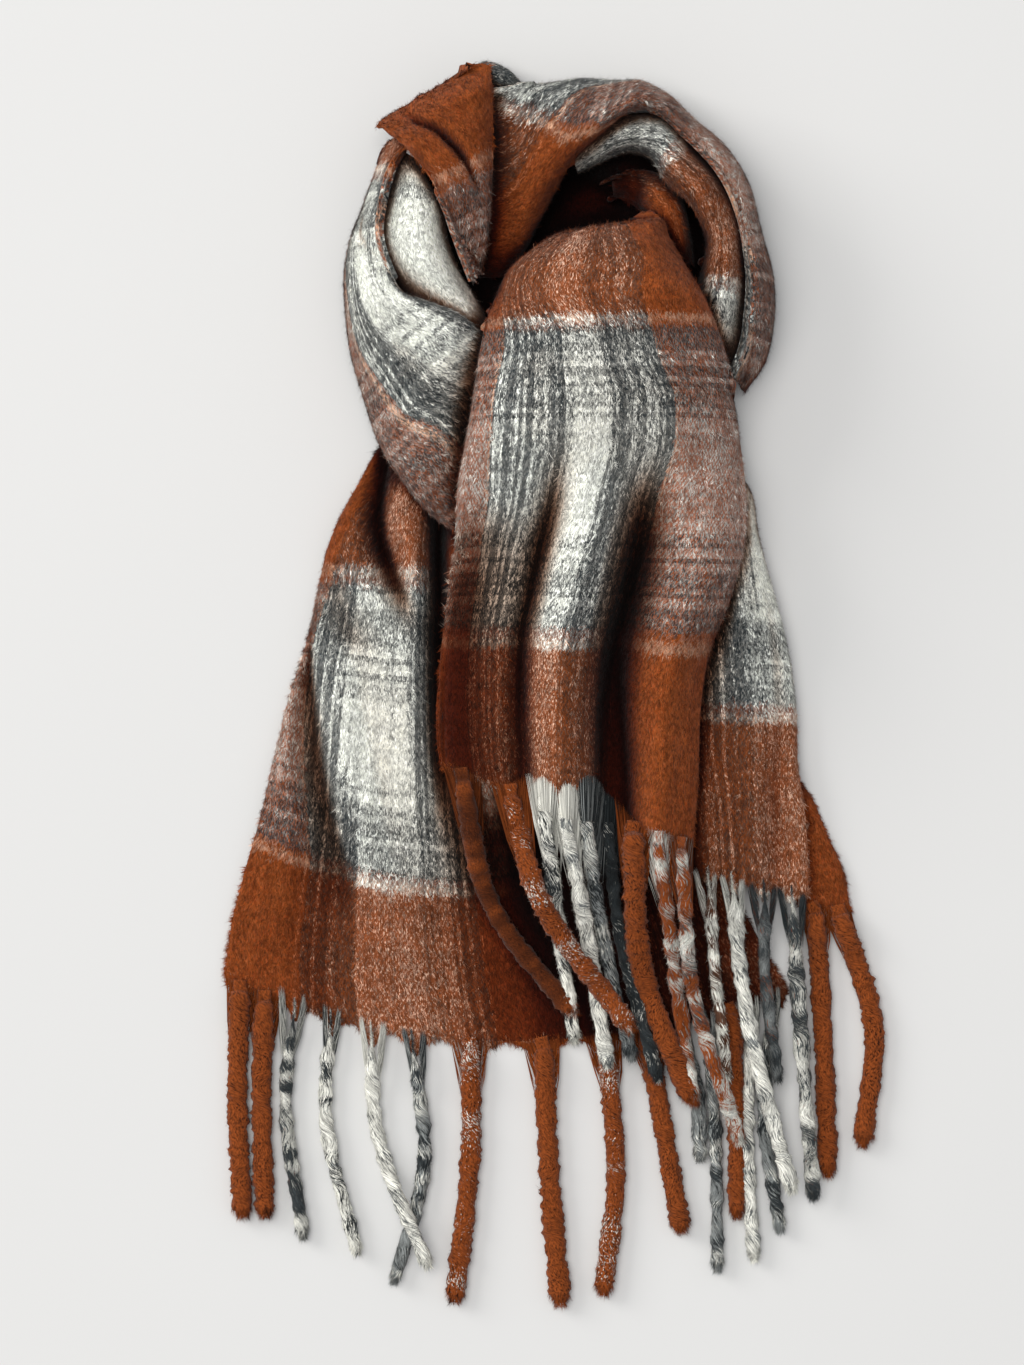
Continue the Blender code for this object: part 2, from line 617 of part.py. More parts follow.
# name, the stretch whose hem carries it, strands, colour
FRINGES = {
    "fringe_left": ("tail_left", FRINGE_LEFT, GREY),
    "fringe_selvedge": ("tail_front_selvedge", FRINGE_SELVEDGE, RUST),
    "fringe_underfold": ("tail_front_underfold", FRINGE_UNDERFOLD, CREAM),
    "fringe_front": ("tail_front", FRINGE_FRONT, RUST),
}


def build_scarf():
    """Lay the hidden layers, then every stretch, then the fringe."""
    for old in list(bpy.data.objects):
        bpy.data.objects.remove(old, do_unlink=True)
    pile = Pile()
    hidden_layers(pile)
    hems = {}
    for name, (sections, creases, size, fullness, reach, colour) in STRETCHES.items():
        outer, inner = stretch_grids(sections, creases, pile, size, fullness, reach)
        wall_object(name, outer, inner, colour)
        pile.add_grid(outer)
        hems[name] = (outer, inner)
    for name, (stretch, strands, colour) in FRINGES.items():
        outer, inner = hems[stretch]
        fringe(name, outer[-1], inner[-1], outer[-2], strands, pile, colour)


build_scarf()
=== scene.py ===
"""Looks of a brushed plaid blanket scarf, tied in a loop and laid flat.

The cloth is laid stretch by stretch, from the bottom up, as thin walls of brushed wool on the
same sections as the solids, with a finer grid. Each stretch then gets its nap: tufts of fine
fibres that lie along the warp. The fringe is two-ply twisted yarn with loose roots and tips.

Lengths are in millimetres where nothing else is said. +X runs across the scarf, +Y towards the
loop, and +Z up.
"""

import logging
import math
from dataclasses import dataclass, field
from enum import Enum
from functools import partial
from typing import Any, Callable, NamedTuple, Optional, Union

import bpy
import numpy as np
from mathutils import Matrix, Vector


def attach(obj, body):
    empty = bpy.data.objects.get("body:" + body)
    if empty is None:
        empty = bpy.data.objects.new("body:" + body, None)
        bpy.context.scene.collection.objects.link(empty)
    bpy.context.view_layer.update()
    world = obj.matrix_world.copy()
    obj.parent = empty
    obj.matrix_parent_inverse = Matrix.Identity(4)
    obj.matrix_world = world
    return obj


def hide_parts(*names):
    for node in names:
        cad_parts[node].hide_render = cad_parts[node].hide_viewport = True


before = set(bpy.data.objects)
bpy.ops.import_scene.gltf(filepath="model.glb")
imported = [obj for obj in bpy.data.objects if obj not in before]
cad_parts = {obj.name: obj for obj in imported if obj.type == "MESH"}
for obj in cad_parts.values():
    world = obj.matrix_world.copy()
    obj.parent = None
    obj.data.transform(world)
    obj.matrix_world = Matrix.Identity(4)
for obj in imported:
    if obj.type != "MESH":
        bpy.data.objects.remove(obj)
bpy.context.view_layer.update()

log = logging.getLogger("scarf")

Node, Socket, Tree = bpy.types.Node, bpy.types.NodeSocket, bpy.types.NodeTree
Object, Material = bpy.types.Object, bpy.types.Material
Array, Rng = np.ndarray, np.random.Generator
Pair, Triple = tuple[float, float], tuple[float, float, float]
Colour = tuple[float, float, float, float]
Add = Callable[..., Node]

MM = 0.001
ORIGIN_SHIFT = (-2.78, 2.74)   # from the tables' origin to the middle of the laid scarf
CLOTH_WALL = 3.0               # thickness of the brushed cloth
SEAT_GAP = 0.35                # air between two layers that lie on each other
GRID_STEP = 2.5                # spacing of the fine grid of the cloth
WEAVE_SHIFT = 1000.0           # keeps the places in the weave positive
SEED = 1957


class Yarn(Enum):
    """The dyed yarns of the check, as sRGB hex values."""

    RUST = "8D461D"
    RUST_DEEP = "54270F"
    CREAM = "F5F4EA"
    SLATE = "3C4143"
    SLATE_LIGHT = "8A8E8D"
    SLATE_DARK = "2E3335"
    TEAL = "3E5558"
    FROST = "DDD8CE"
    PEACH = "D09C7B"
    VEIL = "DA9260"
    UMBER = "6B4A39"


class Mix(Enum):
    """The fringe's yarns: main yarn, second yarn and its share, flecks and their share."""

    RUST = (Yarn.RUST, Yarn.RUST_DEEP, 0.12, Yarn.RUST, 0.0)
    DARK_RUST = (Yarn.RUST_DEEP, Yarn.RUST, 0.45, Yarn.RUST, 0.0)
    RUST_FLECKED = (Yarn.RUST, Yarn.RUST_DEEP, 0.12, Yarn.CREAM, 0.14)
    RUST_WHITE = (Yarn.RUST, Yarn.CREAM, 0.36, Yarn.SLATE, 0.12)
    WHITE = (Yarn.CREAM, Yarn.SLATE_LIGHT, 0.20, Yarn.SLATE, 0.10)
    WHITE_SLATE = (Yarn.CREAM, Yarn.SLATE, 0.32, Yarn.SLATE_LIGHT, 0.14)
    SLATE_WHITE = (Yarn.SLATE, Yarn.CREAM, 0.46, Yarn.RUST, 0.02)
    SLATE = (Yarn.SLATE_LIGHT, Yarn.SLATE, 0.50, Yarn.CREAM, 0.20)
    SLATE_FLECKED = (Yarn.SLATE, Yarn.SLATE_LIGHT, 0.40, Yarn.RUST, 0.12)
    DARK_SLATE = (Yarn.SLATE_DARK, Yarn.SLATE, 0.40, Yarn.CREAM, 0.14)
    CREAM_BROWN = (Yarn.CREAM, Yarn.UMBER, 0.45, Yarn.RUST, 0.10)
    MIXED = (Yarn.RUST, Yarn.CREAM, 0.38, Yarn.SLATE, 0.20)

    @property
    def pale(self) -> bool:
        """Whether it is a smooth pale yarn, not a bulky, fuzzy rust one."""
        return self not in (Mix.RUST, Mix.DARK_RUST, Mix.RUST_FLECKED)


class Slot(Enum):
    """The record's material slots."""

    RUST = "brushed_wool_rust"
    CREAM = "brushed_wool_cream"
    GREY = "brushed_wool_grey"
    MAUVE = "brushed_wool_mauve"
    FRINGE = "fringe_yarn"


class Crease(NamedTuple):
    """A soft trough (depth < 0) or ridge between two places (across -1..1, along 0..1); its depth also sets
    painted shade in a trough and a painted highlight on a ridge.
    """

    across_start: float
    along_start: float
    across_end: float
    along_end: float
    depth: float
    width: float


class Strand(NamedTuple):
    """A fringe strand: its place on the hem, a point on its way, its tip, width, layer and yarn.

    Its warp ends come out of the cloth at the inset, short of the hem.
    """

    root: float
    mid_x: float
    mid_y: float
    tip_x: float
    tip_y: float
    width: float
    layer: int
    yarn: Mix
    inset: float = 3.0


# ------------------------------ the tables

# Each row is a section across a stretch: x, y and z of its left edge, the same of its right edge,
# its rise between them and, where it has one, its bow.
THROAT_ROLL = [
    (31, 270, 6, 27, 294, 6, 12), (40, 269, 8, 38, 296, 8, 20), (51, 266, 10, 54, 294, 10, 30),
    (60, 258, 10, 74, 278, 10, 38), (64, 248, 10, 80, 254, 10, 36), (67, 234, 8, 82, 238, 8, 32),
]
RIGHT_INNER = [
    (16, 290, 14, 9, 302, 20, 22), (29, 296, 14, 23, 311, 22, 30), (44, 301, 14, 41, 322, 24, 38),
    (56, 297, 14, 64, 322, 22, 44), (65, 282, 14, 85, 303, 20, 48), (80, 268, 14, 102, 281, 16, 50),
    (89, 250, 12, 110, 257, 12, 52), (86, 234, 6, 113, 234, 6, 58), (82, 216, 0, 113, 211, 0, 62),
    (82, 198, 0, 110, 192, 0, 56), (84, 180, 0, 103, 172, 0, 36),
]
FLAP_BEHIND = [
    (-58, 334, 0, -52, 346, 0, 24), (-42, 338, 0, -37, 356, 0, 34), (-29, 338, 0, -23, 350, 0, 36),
    (-19, 333, 0, -15, 342, 0, 24),
]
LOOP_BACK = [
    (-40, 230, 10, -46, 329, 0, 24), (-30, 230, 8, -36, 334, 0, 34), (-20, 237, 8, -22, 338, 0, 44),
    (-7, 261, 8, -6, 343, 0, 53), (2, 278, 10, 7, 345, 0, 58), (11, 293, 14, 20, 346, 0, 60),
    (27, 307, 20, 37, 345, 0, 60), (45, 320, 26, 54, 344, 0, 54), (58, 321, 30, 67, 337, 0, 48),
    (74, 309, 28, 81, 324, 0, 46), (90, 294, 26, 101, 307, 0, 46), (102, 275, 24, 114, 286, 0, 44),
    (109, 251, 18, 122, 257, 0, 44), (113, 227, 12, 129, 228, 0, 46), (112, 205, 6, 129, 205, 0, 44),
    (109, 188, 2, 124, 183, 0, 36), (103, 173, 0, 113, 166, 0, 22),
]
LEFT_INNER = [
    (-87, 302, 8, -76, 296, 8, 36), (-91, 290, 8, -68, 282, 8, 48), (-97, 273, 6, -61, 269, 8, 60),
    (-101, 252, 6, -58, 249, 8, 66), (-99, 237, 6, -53, 235, 8, 66), (-91, 224, 10, -44, 220, 10, 60),
    (-81, 213, 16, -36, 205, 12, 50), (-70, 201, 20, -32, 193, 14, 36),
]
TOP_FLAP = [
    (-90, 322, 0, -45, 348, 0, 4), (-94, 323, 21, -45, 351, 18, 11), (-99, 318, 26, -37, 351, 17, 16),
    (-96, 314, 30, -34, 342, 14, 30), (-86, 304, 34, -33, 327, 10, 42), (-72, 288, 36, -33, 309, 8, 48),
    (-62, 271, 36, -33, 288, 8, 48), (-55, 254, 30, -34, 266, 8, 46), (-50, 240, 20, -36, 247, 8, 38),
    (-44, 225, 12, -40, 230, 8, 26),
]
TAIL_LEFT = [
    (-84, 167, 0, 8, 167, 0, 12), (-91, 148, 0, 6, 148, 0, 16), (-100, 134, 0, 6, 133, 0, 18),
    (-111, 113, 0, 9, 112, 0, 22), (-123, 91, 0, 14, 90, 0, 26), (-131, 68, 0, 23, 67, 0, 28, 2),
    (-137, 45, 0, 32, 43, 0, 28, 5), (-145, 16, 0, 42, 14, 0, 26, 9), (-152, -13, 0, 53, -14, 0, 24, 14),
    (-159, -42, 0, 65, -43, 0, 22, 20), (-167, -77, 0, 81, -77, 0, 18, 27),
    (-177, -112, 0, 100, -111, 0, 14, 32), (-184, -141, 0, 117, -143, 0, 10, 34),
    (-188, -172, 0, 136, -177, 0, 6, 36),
]
LEFT_FRONT = [
    (-66, 326, 0, -62, 312, 4, 24), (-80, 320, 0, -74, 308, 6, 26), (-91, 311, 0, -82, 301, 6, 28),
    (-99, 294, 0, -90, 289, 6, 32), (-108, 273, 0, -95, 270, 6, 38), (-116, 252, 0, -97, 251, 4, 46),
    (-119, 232, 0, -92, 233, 4, 58), (-118, 212, 0, -84, 218, 10, 68), (-115, 188, 0, -72, 213, 16, 67),
    (-108, 163, 4, -53, 206, 18, 63), (-99, 137, 8, -36, 193, 16, 58), (-85, 113, 10, -20, 172, 12, 50),
    (-66, 92, 10, -10, 146, 6, 38), (-48, 80, 8, -4, 124, 2, 26),
]
FRONT_SELVEDGE = [
    (128, -46, 0, 139, -50, 0, 3), (135, -70, 0, 152, -70, 0, 7), (136, -93, 0, 161, -92, 0, 7),
    (138, -117, 0, 171, -115, 0, 7), (144, -130, 0, 174, -133, 0, 6),
]
FRONT_UNDERFOLD = [
    (78, 160, 0, 96, 156, 0, 12), (81, 131, 0, 107, 123, 0, 20), (82, 109, 0, 116, 107, 0, 28),
    (81, 86, 0, 120, 84, 0, 30), (79, 63, 0, 126, 61, 0, 31), (76, 39, 0, 133, 36, 0, 31),
    (75, 11, 0, 139, 9, 0, 30), (75, -18, 0, 142, -20, 0, 28), (75, -48, 0, 143, -50, 0, 25),
    (75, -77, 0, 147, -80, 0, 21), (78, -109, 0, 149, -124, 0, 17),
]
TAIL_FRONT = [
    (10, 259, 12, 57, 265, 12, 4), (1, 254, 22, 63, 261, 22, 34), (-10, 245, 32, 67, 250, 30, 54),
    (-22, 235, 30, 75, 236, 26, 72), (-33, 214, 22, 86, 216, 22, 84), (-39, 189, 18, 96, 192, 20, 86),
    (-44, 158, 14, 105, 162, 14, 84), (-51, 119, 6, 111, 122, 6, 80), (-57, 86, 0, 112, 87, 2, 74),
    (-64, 53, 0, 105, 51, 4, 66), (-68, 22, 0, 92, 17, 6, 58), (-70, -9, 0, 86, -21, 6, 50),
    (-70, -33, 0, 85, -60, 6, 44), (-68, -51, 0, 82, -94, 4, 38),
]
FRINGE_LEFT = [Strand(*row) for row in (
    (0.030, -181, -241, -178, -310, 12.5, 0, Mix.RUST), (0.075, -167, -241, -165, -310, 12.5, 0, Mix.RUST),
    (0.130, -153, -238, -143, -322, 11.0, 0, Mix.SLATE_WHITE, 11),
    (0.195, -130, -250, -112, -331, 11.0, 0, Mix.WHITE_SLATE, 9),
    (0.268, -101, -257, -71, -338, 12.0, 1, Mix.WHITE, 8),
    (0.340, -73, -282, -90, -348, 11.5, 0, Mix.SLATE, 6),
    (0.440, -46, -273, -55, -359, 12.5, 0, Mix.RUST_FLECKED), (0.565, 0, -291, 6, -361, 13.0, 0, Mix.RUST),
    (0.672, 38, -290, 31, -355, 12.0, 0, Mix.RUST_FLECKED), (0.745, 67, -268, 76, -319, 12.5, 0, Mix.RUST),
    (0.805, 85, -238, 87, -277, 12.0, 0, Mix.SLATE), (0.853, 96, -274, 97, -341, 11.0, 0, Mix.SLATE),
    (0.895, 108, -256, 108, -310, 11.0, 0, Mix.RUST), (0.935, 114, -262, 118, -335, 11.5, 0, Mix.WHITE),
    (0.975, 124, -250, 133, -318, 11.0, 0, Mix.SLATE),
)]
FRINGE_SELVEDGE = [Strand(*row) for row in (
    (0.26, 158, -205, 161, -286, 12.0, 0, Mix.RUST), (0.76, 187, -200, 181, -269, 12.5, 0, Mix.RUST),
)]
FRINGE_UNDERFOLD = [Strand(*row) for row in (
    (0.18, 96, -178, 102, -230, 10.0, 0, Mix.CREAM_BROWN),
    (0.37, 113, -192, 139, -294, 13.0, 1, Mix.WHITE),
    (0.63, 124, -170, 131, -230, 10.5, 0, Mix.SLATE_FLECKED),
    (0.86, 145, -210, 152, -299, 12.5, 0, Mix.SLATE_WHITE),
)]
FRINGE_FRONT = [Strand(*row) for row in (
    (0.075, -35, -128, 13, -193, 12.0, 0, Mix.DARK_RUST),
    (0.270, -9, -119, 46, -201, 12.5, 1, Mix.RUST_FLECKED),
    (0.405, 3, -128, 14, -209, 12.0, 0, Mix.WHITE_SLATE, 23),
    (0.487, 18, -130, 33, -222, 12.5, 0, Mix.WHITE, 32),
    (0.570, 28, -136, 47, -218, 11.5, 0, Mix.SLATE, 32),
    (0.655, 40, -146, 62, -230, 11.0, 0, Mix.DARK_SLATE, 14),
    (0.760, 52, -163, 81, -242, 14.0, 0, Mix.RUST), (0.860, 71, -163, 83, -244, 11.5, 0, Mix.RUST_WHITE),
    (0.950, 81, -175, 109, -266, 12.0, 1, Mix.MIXED),
)]
# Each crease shapes the cloth and, by its depth, also paints shade into a trough and a highlight onto a
# ridge. Where cloth already rests on the board or a layer, it can't sink, so a deep crease there is mostly
# painted shade, as near the hem of the left tail.
THROAT_CREASES = [(0.0, -0.6, 0.0, 0.42, -27, 2.5)]
TAIL_LEFT_CREASES = [
    (-1.08, -0.02, -0.20, 0.42, -24, 0.10), (-0.12, 0.06, -0.12, 0.72, -27, 0.07),
    (-0.60, 0.04, -0.20, 0.36, 5, 0.10), (-1.02, 0.33, -0.52, 0.86, -19, 0.10),
    (-0.90, 0.28, -0.56, 0.46, -9, 0.16), (-0.66, 0.70, -0.66, 1.02, -14, 0.12),
    (0.18, 0.62, 0.20, 1.02, -23, 0.34), (-0.80, 0.36, -0.32, 0.90, 9, 0.14),
    (0.20, 0.50, 0.26, 1.02, -6, 0.10),
]
TAIL_FRONT_CREASES = [
    (-0.74, 0.44, -0.74, 1.02, -26, 0.40), (-0.30, 0.34, -0.28, 1.02, -17, 0.09),
    (0.20, 0.38, 0.36, 1.02, -36, 0.15), (-0.06, 0.45, 0.00, 1.02, 7, 0.12),
    (0.60, 0.50, 0.66, 1.02, 9, 0.14), (-0.45, 0.12, -0.50, 0.45, -4, 0.16),
    (0.84, 0.30, 0.90, 0.85, -6, 0.10),
]
UNDERFOLD_CREASES = [(0.10, 0.05, 0.05, 1.02, 5, 0.16), (0.55, 0.30, 0.50, 1.02, -6, 0.16)]
TOP_FLAP_CREASES = [(-0.46, 0.02, 0.22, 0.64, -17, 0.09), (-0.78, 0.05, -0.30, 0.75, 4, 0.14)]
LEFT_FRONT_CREASES = [(0.05, 0.45, 0.10, 1.02, -3, 0.20)]
RIGHT_INNER_CREASES = [(0.00, 0.45, -0.30, 0.80, -5, 0.25)]


# ------------------------------ finishes

# The sett of the check from the middle of a cream stripe, and the share that a
# weft of that colour takes of the surface. It repeats every 290 in both directions.
SETT_REPEAT = 290.0
SETT = [
    (-145.0, Yarn.RUST, 0.79), (-98.0, Yarn.PEACH, 0.52), (-92.5, Yarn.RUST, 0.62),
    (-88.0, Yarn.TEAL, 0.62), (-86.0, Yarn.CREAM, 0.33), (87.0, Yarn.RUST, 0.64), (92.5, Yarn.PEACH, 0.52),
    (98.0, Yarn.RUST, 0.79),
]
# Share of slate threads between the rust stripes: full on one side of the cream, broken rows on
# the other side.
SLATE_SHARE = [
    (-145.0, 0.0), (-86.5, 0.0), (-86.0, 0.96), (-56.0, 0.95), (-46.0, 0.86), (-36.0, 0.62), (-24.0, 0.24),
    (-12.0, 0.0), (14.0, 0.02), (30.0, 0.32), (44.0, 0.68), (62.0, 0.84), (78.0, 0.90), (86.5, 0.95),
    (87.0, 0.0),
]


def linear(hex_colour: str) -> Colour:
    """Turn an sRGB hex value to the linear colour that a shader takes.

    Args:
      hex_colour: six hex digits.

    Returns:
      Red, green, blue and an alpha of 1.
    """
    parts = [int(hex_colour[i:i + 2], 16) / 255 for i in (0, 2, 4)]
    channels = [c / 12.92 if c <= 0.04045 else ((c + 0.055) / 1.055) ** 2.4 for c in parts]
    return (channels[0], channels[1], channels[2], 1.0)


def add_node(tree: Tree, kind: str, links: Any = (), **settings: Any) -> Node:
    """Add a node with its settings and its links.

    Args:
      tree: the material's node tree.
      kind: the node's type, without the ShaderNode that it starts with.
      links: for each input, by name or in the inputs' order, the socket that feeds it, the node
          whose first output feeds it, or its plain value.
      settings: properties of the node.

    Returns:
      The new node.
    """
    node = tree.nodes.new(f"ShaderNode{kind}")
    for name, value in settings.items():
        setattr(node, name, value)
    for name, value in (links if isinstance(links, dict) else dict(enumerate(links))).items():
        source = value.outputs[0] if isinstance(value, Node) else value
        if isinstance(source, Socket):
            tree.links.new(source, node.inputs[name])
        else:
            node.inputs[name].default_value = source
    return node


class Span(NamedTuple):
    """How a value is turned: from low to high it goes from first to last, and no further.

    The four numbers are in the order of a map-range node's inputs.
    """

    low: float
    high: float
    first: float = 0.0
    last: float = 1.0


class Stripe(NamedTuple):
    """A thread's sockets: its colour, its share of the surface as a weft, how far it is slate."""

    colour: Socket
    cover: Socket
    slate: Socket


@dataclass(frozen=True)
class Wool:
    """What every brushed wool surface here shares: no gloss, soft light at grazing angles."""

    name: str  # name of the material
    roughness: float = 0.95  # wool scatters light all ways
    ior: float = 1.5  # wool's own is 1.55
    specular: float = 0.1  # fibres that cross each other leave little of the mirror-like part
    sheen: float = 0.06  # the light that raised fibres catch at grazing angles
    sheen_roughness: float = 0.5  # how wide that light spreads
    relief: float = 0.9  # height of the brushed streaks
    relief_strength: float = 0.7  # how much of it shows

    def start(self) -> Material:
        """Make the material with the values that are the same all over.

        Returns:
          The material, without its colour.
        """
        material = bpy.data.materials.new(self.name)
        material.use_nodes = True
        shader = material.node_tree.nodes["Principled BSDF"]
        shader.inputs["Roughness"].default_value = self.roughness
        shader.inputs["IOR"].default_value = self.ior
        shader.inputs["Specular IOR Level"].default_value = self.specular
        shader.inputs["Sheen Weight"].default_value = self.sheen
        shader.inputs["Sheen Roughness"].default_value = self.sheen_roughness
        return material

    def raise_streaks(self, node: Add, tree: Tree, streaks: Node) -> None:
        """Let the streaks stand out.

        Args:
          node: adds a node to the material.
          tree: the material's node tree.
          streaks: their noise.
        """
        bump = node("Bump", {
            "Height": streaks.outputs["Fac"], "Strength": self.relief_strength, "Distance": self.relief * MM})
        tree.links.new(bump.outputs["Normal"], tree.nodes["Principled BSDF"].inputs["Normal"])


@dataclass(frozen=True)
class BrushedWoolCheck(Wool):
    """Brushed wool-blend cloth, woven in a check and raised: matt, with a stippled, fuzzy face."""

    nap: bool = False  # whether it is for the raised fibres, which carry their tuft's own numbers
    # Spacing of the warp and weft threads; coarser than the real 1.1 mm, so that the rows show.
    thread: Pair = (1.5, 1.9)
    # Width of the groups of threads that share a colour, across and along the warp.
    group: Pair = (2.4, 2.8)
    fleck: Pair = (0.95, 2.3)  # width and length of the brushed streaks
    patch: float = 24.0  # size of the patches where the nap lies thicker or thinner
    patchy: float = 0.6  # how much more or less of the weft shows in them
    # How far brushing drags the edges of the stripes, across the warp and along it.
    drag: Pair = (6.0, 13.0)
    dashes: float = 2.4  # how strongly brushing breaks each thread's colour into dashes
    slate_edge: float = 0.26  # how far a thread's luck goes from none to all slate
    slate_cover: float = 0.26  # how much more of the surface a slate weft takes than a cream one
    slate_stands: float = 0.30  # how much less of the wefts shows beside a slate warp, which is thicker
    crossing: float = 0.22  # how far one set of threads hides the other at each crossing
    crossing_luck: Span = Span(0.34, 0.66)  # how far the streaks decide it
    weft_edge: float = 0.14  # how soft the change from warp to weft is
    # The weft that shows at least, for its share of the surface.
    least_weft: Span = Span(0.50, 0.84, 0.07, 0.26)
    most_weft: Span = Span(0.50, 0.84, 0.84, 0.97)  # the weft that shows at most
    # How far the fibres of rust wefts colour the warp between them.
    veil: Span = Span(0.64, 0.78, 0.0, 0.62)
    # How much a pale fibre covers, over plain threads and over slate ones.
    frost: Span = Span(0.0, 1.0, 0.14, 0.33)
    # How much less it covers over wefts with a large share of the surface.
    calm: Span = Span(0.66, 0.78, 1.0, 0.35)
    grey_frost: Span = Span(0.62, 0.78, 1.0, 0.0)  # how grey the pale fibres are, and not peach
    cloth_frost: Span = Span(0.46, 0.62)  # where the cloth has pale fibres
    nap_frost: Span = Span(0.70, 0.78)  # which tufts of the nap are pale
    streaks: Span = Span(0.36, 0.64, 0.48, 1.35)  # how dark and how light the streaks are
    warp_dye: Span = Span(0.0, 1.0, 0.90, 1.08)  # how unlike each other the warp threads are dyed
    weft_dye: Span = Span(0.0, 1.0, 0.92, 1.07)  # the same for the weft
    painted_shade_warmth: Pair = (1.4, 1.65)  # how much faster green and blue fade than red in the painted shade of a fold, as powers

    def make(self) -> Material:
        """Build the material.

        Returns:
          The finished material, which reads the UV map "cloth" in metres of the sett, the UV map "weave" in
          metres of the cloth, and the painted shade in the attribute "hollow".
        """
        material = self.start()
        tree = material.node_tree
        node = partial(add_node, tree)
        shader = tree.nodes["Principled BSDF"]
        weave = node("UVMap", uv_map="weave")
        fine = node("Mapping", {"Vector": weave, "Scale": (1000 / self.fleck[0], 1000 / self.fleck[1],
            1.0)})
        fleck = node("TexNoise", {"Vector": fine, "Scale": 1.0, "Detail": 1.5, "Roughness": 0.6})
        lucks = node("SeparateColor", (fleck.outputs["Color"],))
        grouped = node("Mapping", {"Vector": weave, "Scale": (1000 / self.group[0], 1000 / self.group[1],
            1.0)})
        groups = node("SeparateXYZ", (grouped,))
        warp_number = node("Math", (groups.outputs["X"],), operation="FLOOR")
        warp_luck = node("TexWhiteNoise", {"W": warp_number}, noise_dimensions="1D")
        weft_number = node("Math", (groups.outputs["Y"],), operation="FLOOR")
        # Seven keeps the wefts in a row of their own in the random table.
        weft_row = node("CombineXYZ", (weft_number, 7.0))
        weft_luck = node("TexWhiteNoise", {"Vector": weft_row}, noise_dimensions="2D")
        cloth = node("UVMap", uv_map="cloth")
        dragged = node("VectorMath", (fleck.outputs["Color"], (*self.drag, 0.0),
            (-self.drag[0] / 2, -self.drag[1] / 2, 0.0)), operation="MULTIPLY_ADD")
        place = node("VectorMath", (cloth, (1000.0, 1000.0, 0.0), dragged), operation="MULTIPLY_ADD")
        places = node("SeparateXYZ", (place,))
        broken = node("Math", (lucks.outputs["Green"], self.dashes, -self.dashes / 2),
            operation="MULTIPLY_ADD")
        warp_drawn = node("Math", (warp_luck, broken), operation="ADD", use_clamp=True)
        weft_drawn = node("Math", (weft_luck, broken), operation="ADD", use_clamp=True)
        warp = self.stripe(node, places.outputs["X"], warp_drawn)
        weft = self.stripe(node, places.outputs["Y"], weft_drawn)
        cover = node("Math", (weft.slate, self.slate_cover, weft.cover), operation="MULTIPLY_ADD")
        if self.nap:
            tuft = node("Attribute", attribute_name="tuft")
            parts = node("SeparateXYZ", (tuft.outputs["Vector"],))
            pick, shade, frost = parts.outputs["X"], parts.outputs["Y"], parts.outputs["Z"]
        else:
            pick, shade, frost = self.crossings(node, weave, lucks), 1.0, lucks.outputs["Blue"]
        wide = node("Mapping", {"Vector": weave, "Scale": (1000 / self.patch, 1000 / self.patch, 1.0)})
        patch = node("TexNoise", {"Vector": wide, "Scale": 1.0, "Detail": 2.0, "Roughness": 0.5})
        patchy = node("Math", (patch.outputs["Fac"], self.patchy, -self.patchy / 2), operation="MULTIPLY_ADD")
        # The slate warp is thicker and stands out between the wefts.
        beside_slate = node("Math", (warp.slate, -self.slate_stands, cover), operation="MULTIPLY_ADD")
        covering = node("Math", (beside_slate, patchy), operation="ADD")
        beaten = node("Math", (covering, pick), operation="SUBTRACT")
        # The fibres of warp and weft cling together, so neither colour shows pure; rust wefts are
        # beaten up close and let least of the warp through.
        least = node("MapRange", (cover, *self.least_weft))
        most = node("MapRange", (cover, *self.most_weft))
        shown = node("MapRange", (beaten, -self.weft_edge, self.weft_edge, least, most))
        # A warp that shows between rust wefts is seen through their fibres.
        veiled = node("MapRange", (cover, *self.veil))
        seen_warp = node("Mix", {0: veiled, 6: warp.colour, 7: linear(Yarn.VEIL.value)}, data_type="RGBA",
            blend_type="MULTIPLY")
        plaid = node("Mix", {0: shown, 6: seen_warp.outputs[2], 7: weft.colour},
            data_type="RGBA").outputs[2]
        slate = node("Mix", {0: shown, 2: warp.slate, 3: weft.slate})
        # Pale fibres lie over the dark stripes: grey ones over slate, fewer, peach ones over rust.
        over_slate = node("MapRange", (slate, *self.frost))
        calm = node("MapRange", (cover, *self.calm))
        palest = node("Math", (over_slate, calm), operation="MULTIPLY")
        tint = node("MapRange", (cover, *self.grey_frost))
        dust = node("Mix", {0: tint, 6: linear(Yarn.PEACH.value), 7: linear(Yarn.FROST.value)},
            data_type="RGBA")
        where = self.nap_frost if self.nap else self.cloth_frost
        frosted = node("MapRange", (frost, where.low, where.high, 0.0, palest))
        bloom = node("Mix", {0: frosted, 6: plaid, 7: dust.outputs[2]}, data_type="RGBA").outputs[2]
        light = node("MapRange", (fleck.outputs["Fac"], *self.streaks))
        # No two threads are dyed quite alike.
        warp_dye = node("MapRange", (warp_luck, *self.warp_dye))
        weft_dye = node("MapRange", (weft_luck, *self.weft_dye))
        dye = node("Math", (warp_dye, weft_dye), operation="MULTIPLY")
        dyed = node("Math", (light, dye), operation="MULTIPLY")
        strength = node("Math", (dyed, shade), operation="MULTIPLY")
        # Painted shade: the attribute "hollow" darkens folds and holes, and warms them, as if the light there
        # had bounced off wool, which takes most of its blue.
        hollow = node("Attribute", attribute_name="hollow").outputs["Fac"]
        green = node("Math", (hollow, self.painted_shade_warmth[0]), operation="POWER")
        blue = node("Math", (hollow, self.painted_shade_warmth[1]), operation="POWER")
        painted_shade_tint = node("CombineXYZ", (hollow, green, blue))
        deep = node("VectorMath", (bloom, painted_shade_tint), operation="MULTIPLY")
        lit = node("VectorMath", {0: deep, "Scale": strength}, operation="SCALE")
        tree.links.new(lit.outputs[0], shader.inputs["Base Color"])
        if not self.nap:
            self.raise_streaks(node, tree, fleck)
        return material

